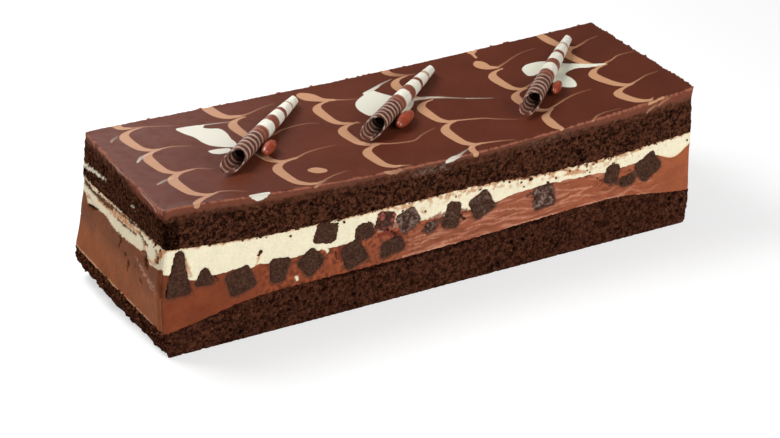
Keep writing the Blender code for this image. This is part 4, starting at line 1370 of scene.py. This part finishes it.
def curl_material(number):
    """Thin pale rings on the dark half, then broad white and brown bands."""
    m = Shader(f"curl_chocolate_{number}", 0.42, Specular_IOR_Level=0.45)
    wobble = m.spread(m.noise(3.0, 2.0), 0.2, 0.8, -0.004, 0.004)
    run = m.maths("ADD", m.value("run"), wobble)
    bands = CURL_BANDS[number - 1]
    soft = 0.004
    stops = [(0.0, CURL_DARK)]
    colours = (CURL_DARK, CURL_BROWN, CURL_WHITE, CURL_BROWN, CURL_WHITE, CURL_BROWN,
               CURL_WHITE, CURL_FAINT, CURL_WHITE)
    for place, before, after in zip(bands, colours, colours[1:]):
        stops += [(place - soft, before), (place + soft, after)]
    tone = m.ramp(run, stops)
    pitch, place = CURL_RINGS[number - 1]
    turn = m.maths("FRACT", m.maths("ADD", m.maths("DIVIDE", run, pitch), 0.5 - place / pitch + 9))
    away = m.maths("ABSOLUTE", m.maths("SUBTRACT", turn, 0.5))
    reach = m.times(m.maths("LESS_THAN", run, bands[0]), 0.7)
    reach = m.maths("ADD", reach, m.times(m.maths("LESS_THAN", run, bands[1]), 0.3))
    ring = m.times(m.spread(away, 0.24, 0.1), reach)
    fade = m.spread(m.noise(5.0, 2.0), 0.35, 0.65, 0.75, 1.0)
    tone = m.mix(m.spread(run, 0.03, 0.01), tone, CURL_MOUTH)
    tone = m.mix(m.times(ring, fade), tone, CURL_RING)
    # Painted shade on the inner side of the rolled sheet
    tone = m.mix(m.times(m.value("inside"), 0.25), tone, CURL_INSIDE_SHADE)
    cloud = m.spread(m.noise(1.4, 3.0), 0.3, 0.7, 0.9, 1.06)
    m.set("Base Color", m.shaded(tone, cloud))
    m.bump((m.noise(1.2, 3.0, 0.6), 0.1), (ring, 0.08))
    return m.material


def bean_material():
    m = Shader("bean_glaze", 0.3, Specular_IOR_Level=0.4, Coat_Weight=0.4, Coat_Roughness=0.22)
    cloud = m.spread(m.noise(3.0, 2.0), 0.35, 0.65)
    m.set("Base Color", m.mix(cloud, linear(142, 57, 33), linear(162, 73, 44)))
    m.bump((m.noise(2.0, 2.0), 0.08))
    return m.material


def floor_material():
    m = Shader("pale_floor", 0.8, Specular_IOR_Level=0.0, Emission_Strength=0.58,
               Emission_Color=(1.0, 1.0, 1.0, 1.0))
    m.set("Base Color", m.mix(m.noise(300.0), linear(190, 190, 190), linear(194, 194, 194)))
    return m.material


# ---- Stage

FLOOR_REACH = 12.0    # metres
# Soft square lights: (name, place and width in metres, power in watts)
LIGHTS = (
    ("key", (-0.25, 0.24, 0.52), 0.3, 3.0),
    ("fill", (0.32, -1.17, 0.7), 0.9, 12.8),
    ("sheen", (-0.02, 0.55, 0.33), 0.42, 0.7),
)
LIGHT_AIM, WORLD_STRENGTH = (0.0, 0.0, 0.06), 0.12


def make_floor():
    mesh = bpy.data.meshes.new("floor")
    far = FLOOR_REACH
    corners = [(-far, -far, 0), (far, -far, 0), (far, far, 0), (-far, far, 0)]
    mesh.from_pydata(corners, [], [(0, 1, 2, 3)])
    mesh.materials.append(floor_material())
    floor = link("floor", mesh)


def make_lights():
    world = bpy.data.worlds.new("studio")
    world.use_nodes = True
    surroundings = world.node_tree.nodes["Background"]
    surroundings.inputs["Color"].default_value = (1.0, 1.0, 1.0, 1.0)
    surroundings.inputs["Strength"].default_value = WORLD_STRENGTH
    bpy.context.scene.world = world
    for name, place, size, power in LIGHTS:
        lamp = bpy.data.lights.new(name, "AREA")
        lamp.size, lamp.energy = size, power
        item = link(name, lamp)
        item.location = place
        aim = Vector(LIGHT_AIM) - item.location
        item.rotation_euler = aim.to_track_quat("-Z", "Y").to_euler()
    bpy.context.scene.view_settings.view_transform = "Standard"


def make_camera():
    camera = bpy.data.cameras.new("camera")
    camera.sensor_width, camera.lens = 36.0, CAMERA_LENS
    camera.clip_start, camera.clip_end = 0.05, 60.0
    item = link("camera", camera)
    turn = Matrix(CAMERA_TURN).transposed().to_4x4()
    item.matrix_world = Matrix.Translation(Vector(CAMERA_PLACE + ORIGIN) * MM) @ turn
    bpy.context.scene.camera = item


def main():
    smear = linear(226, 216, 190)
    base = sponge_material("base_sponge_crumb", linear(42, 21, 14), linear(84, 48, 34), smear)
    crumb = sponge_material("top_sponge_crumb", CRUMB_DARK, CRUMB_LIGHT, smear)
    make_sponge("bottom_sponge", base_under, base_top, BASE_ROWS, base)
    make_sponge("top_sponge", sponge_under, ganache_under, SPONGE_ROWS, crumb)
    make_chocolate_mousse(mousse_material("chocolate_mousse_satin", 0.5, 1.0))
    make_white_mousse(mousse_material("white_mousse_satin", 0.5, 0.35))
    make_ganache(ganache_material())
    make_chunks(brownie_material())
    glaze = bean_material()
    for number, (curl, bean) in enumerate(zip(CURLS, BEANS), start=1):
        make_curl(number, curl, curl_material(number))
        make_bean(number, bean, curl, glaze)
    make_crumbs(loose_crumb_material())
    make_floor()
    make_lights()
    make_camera()


main()
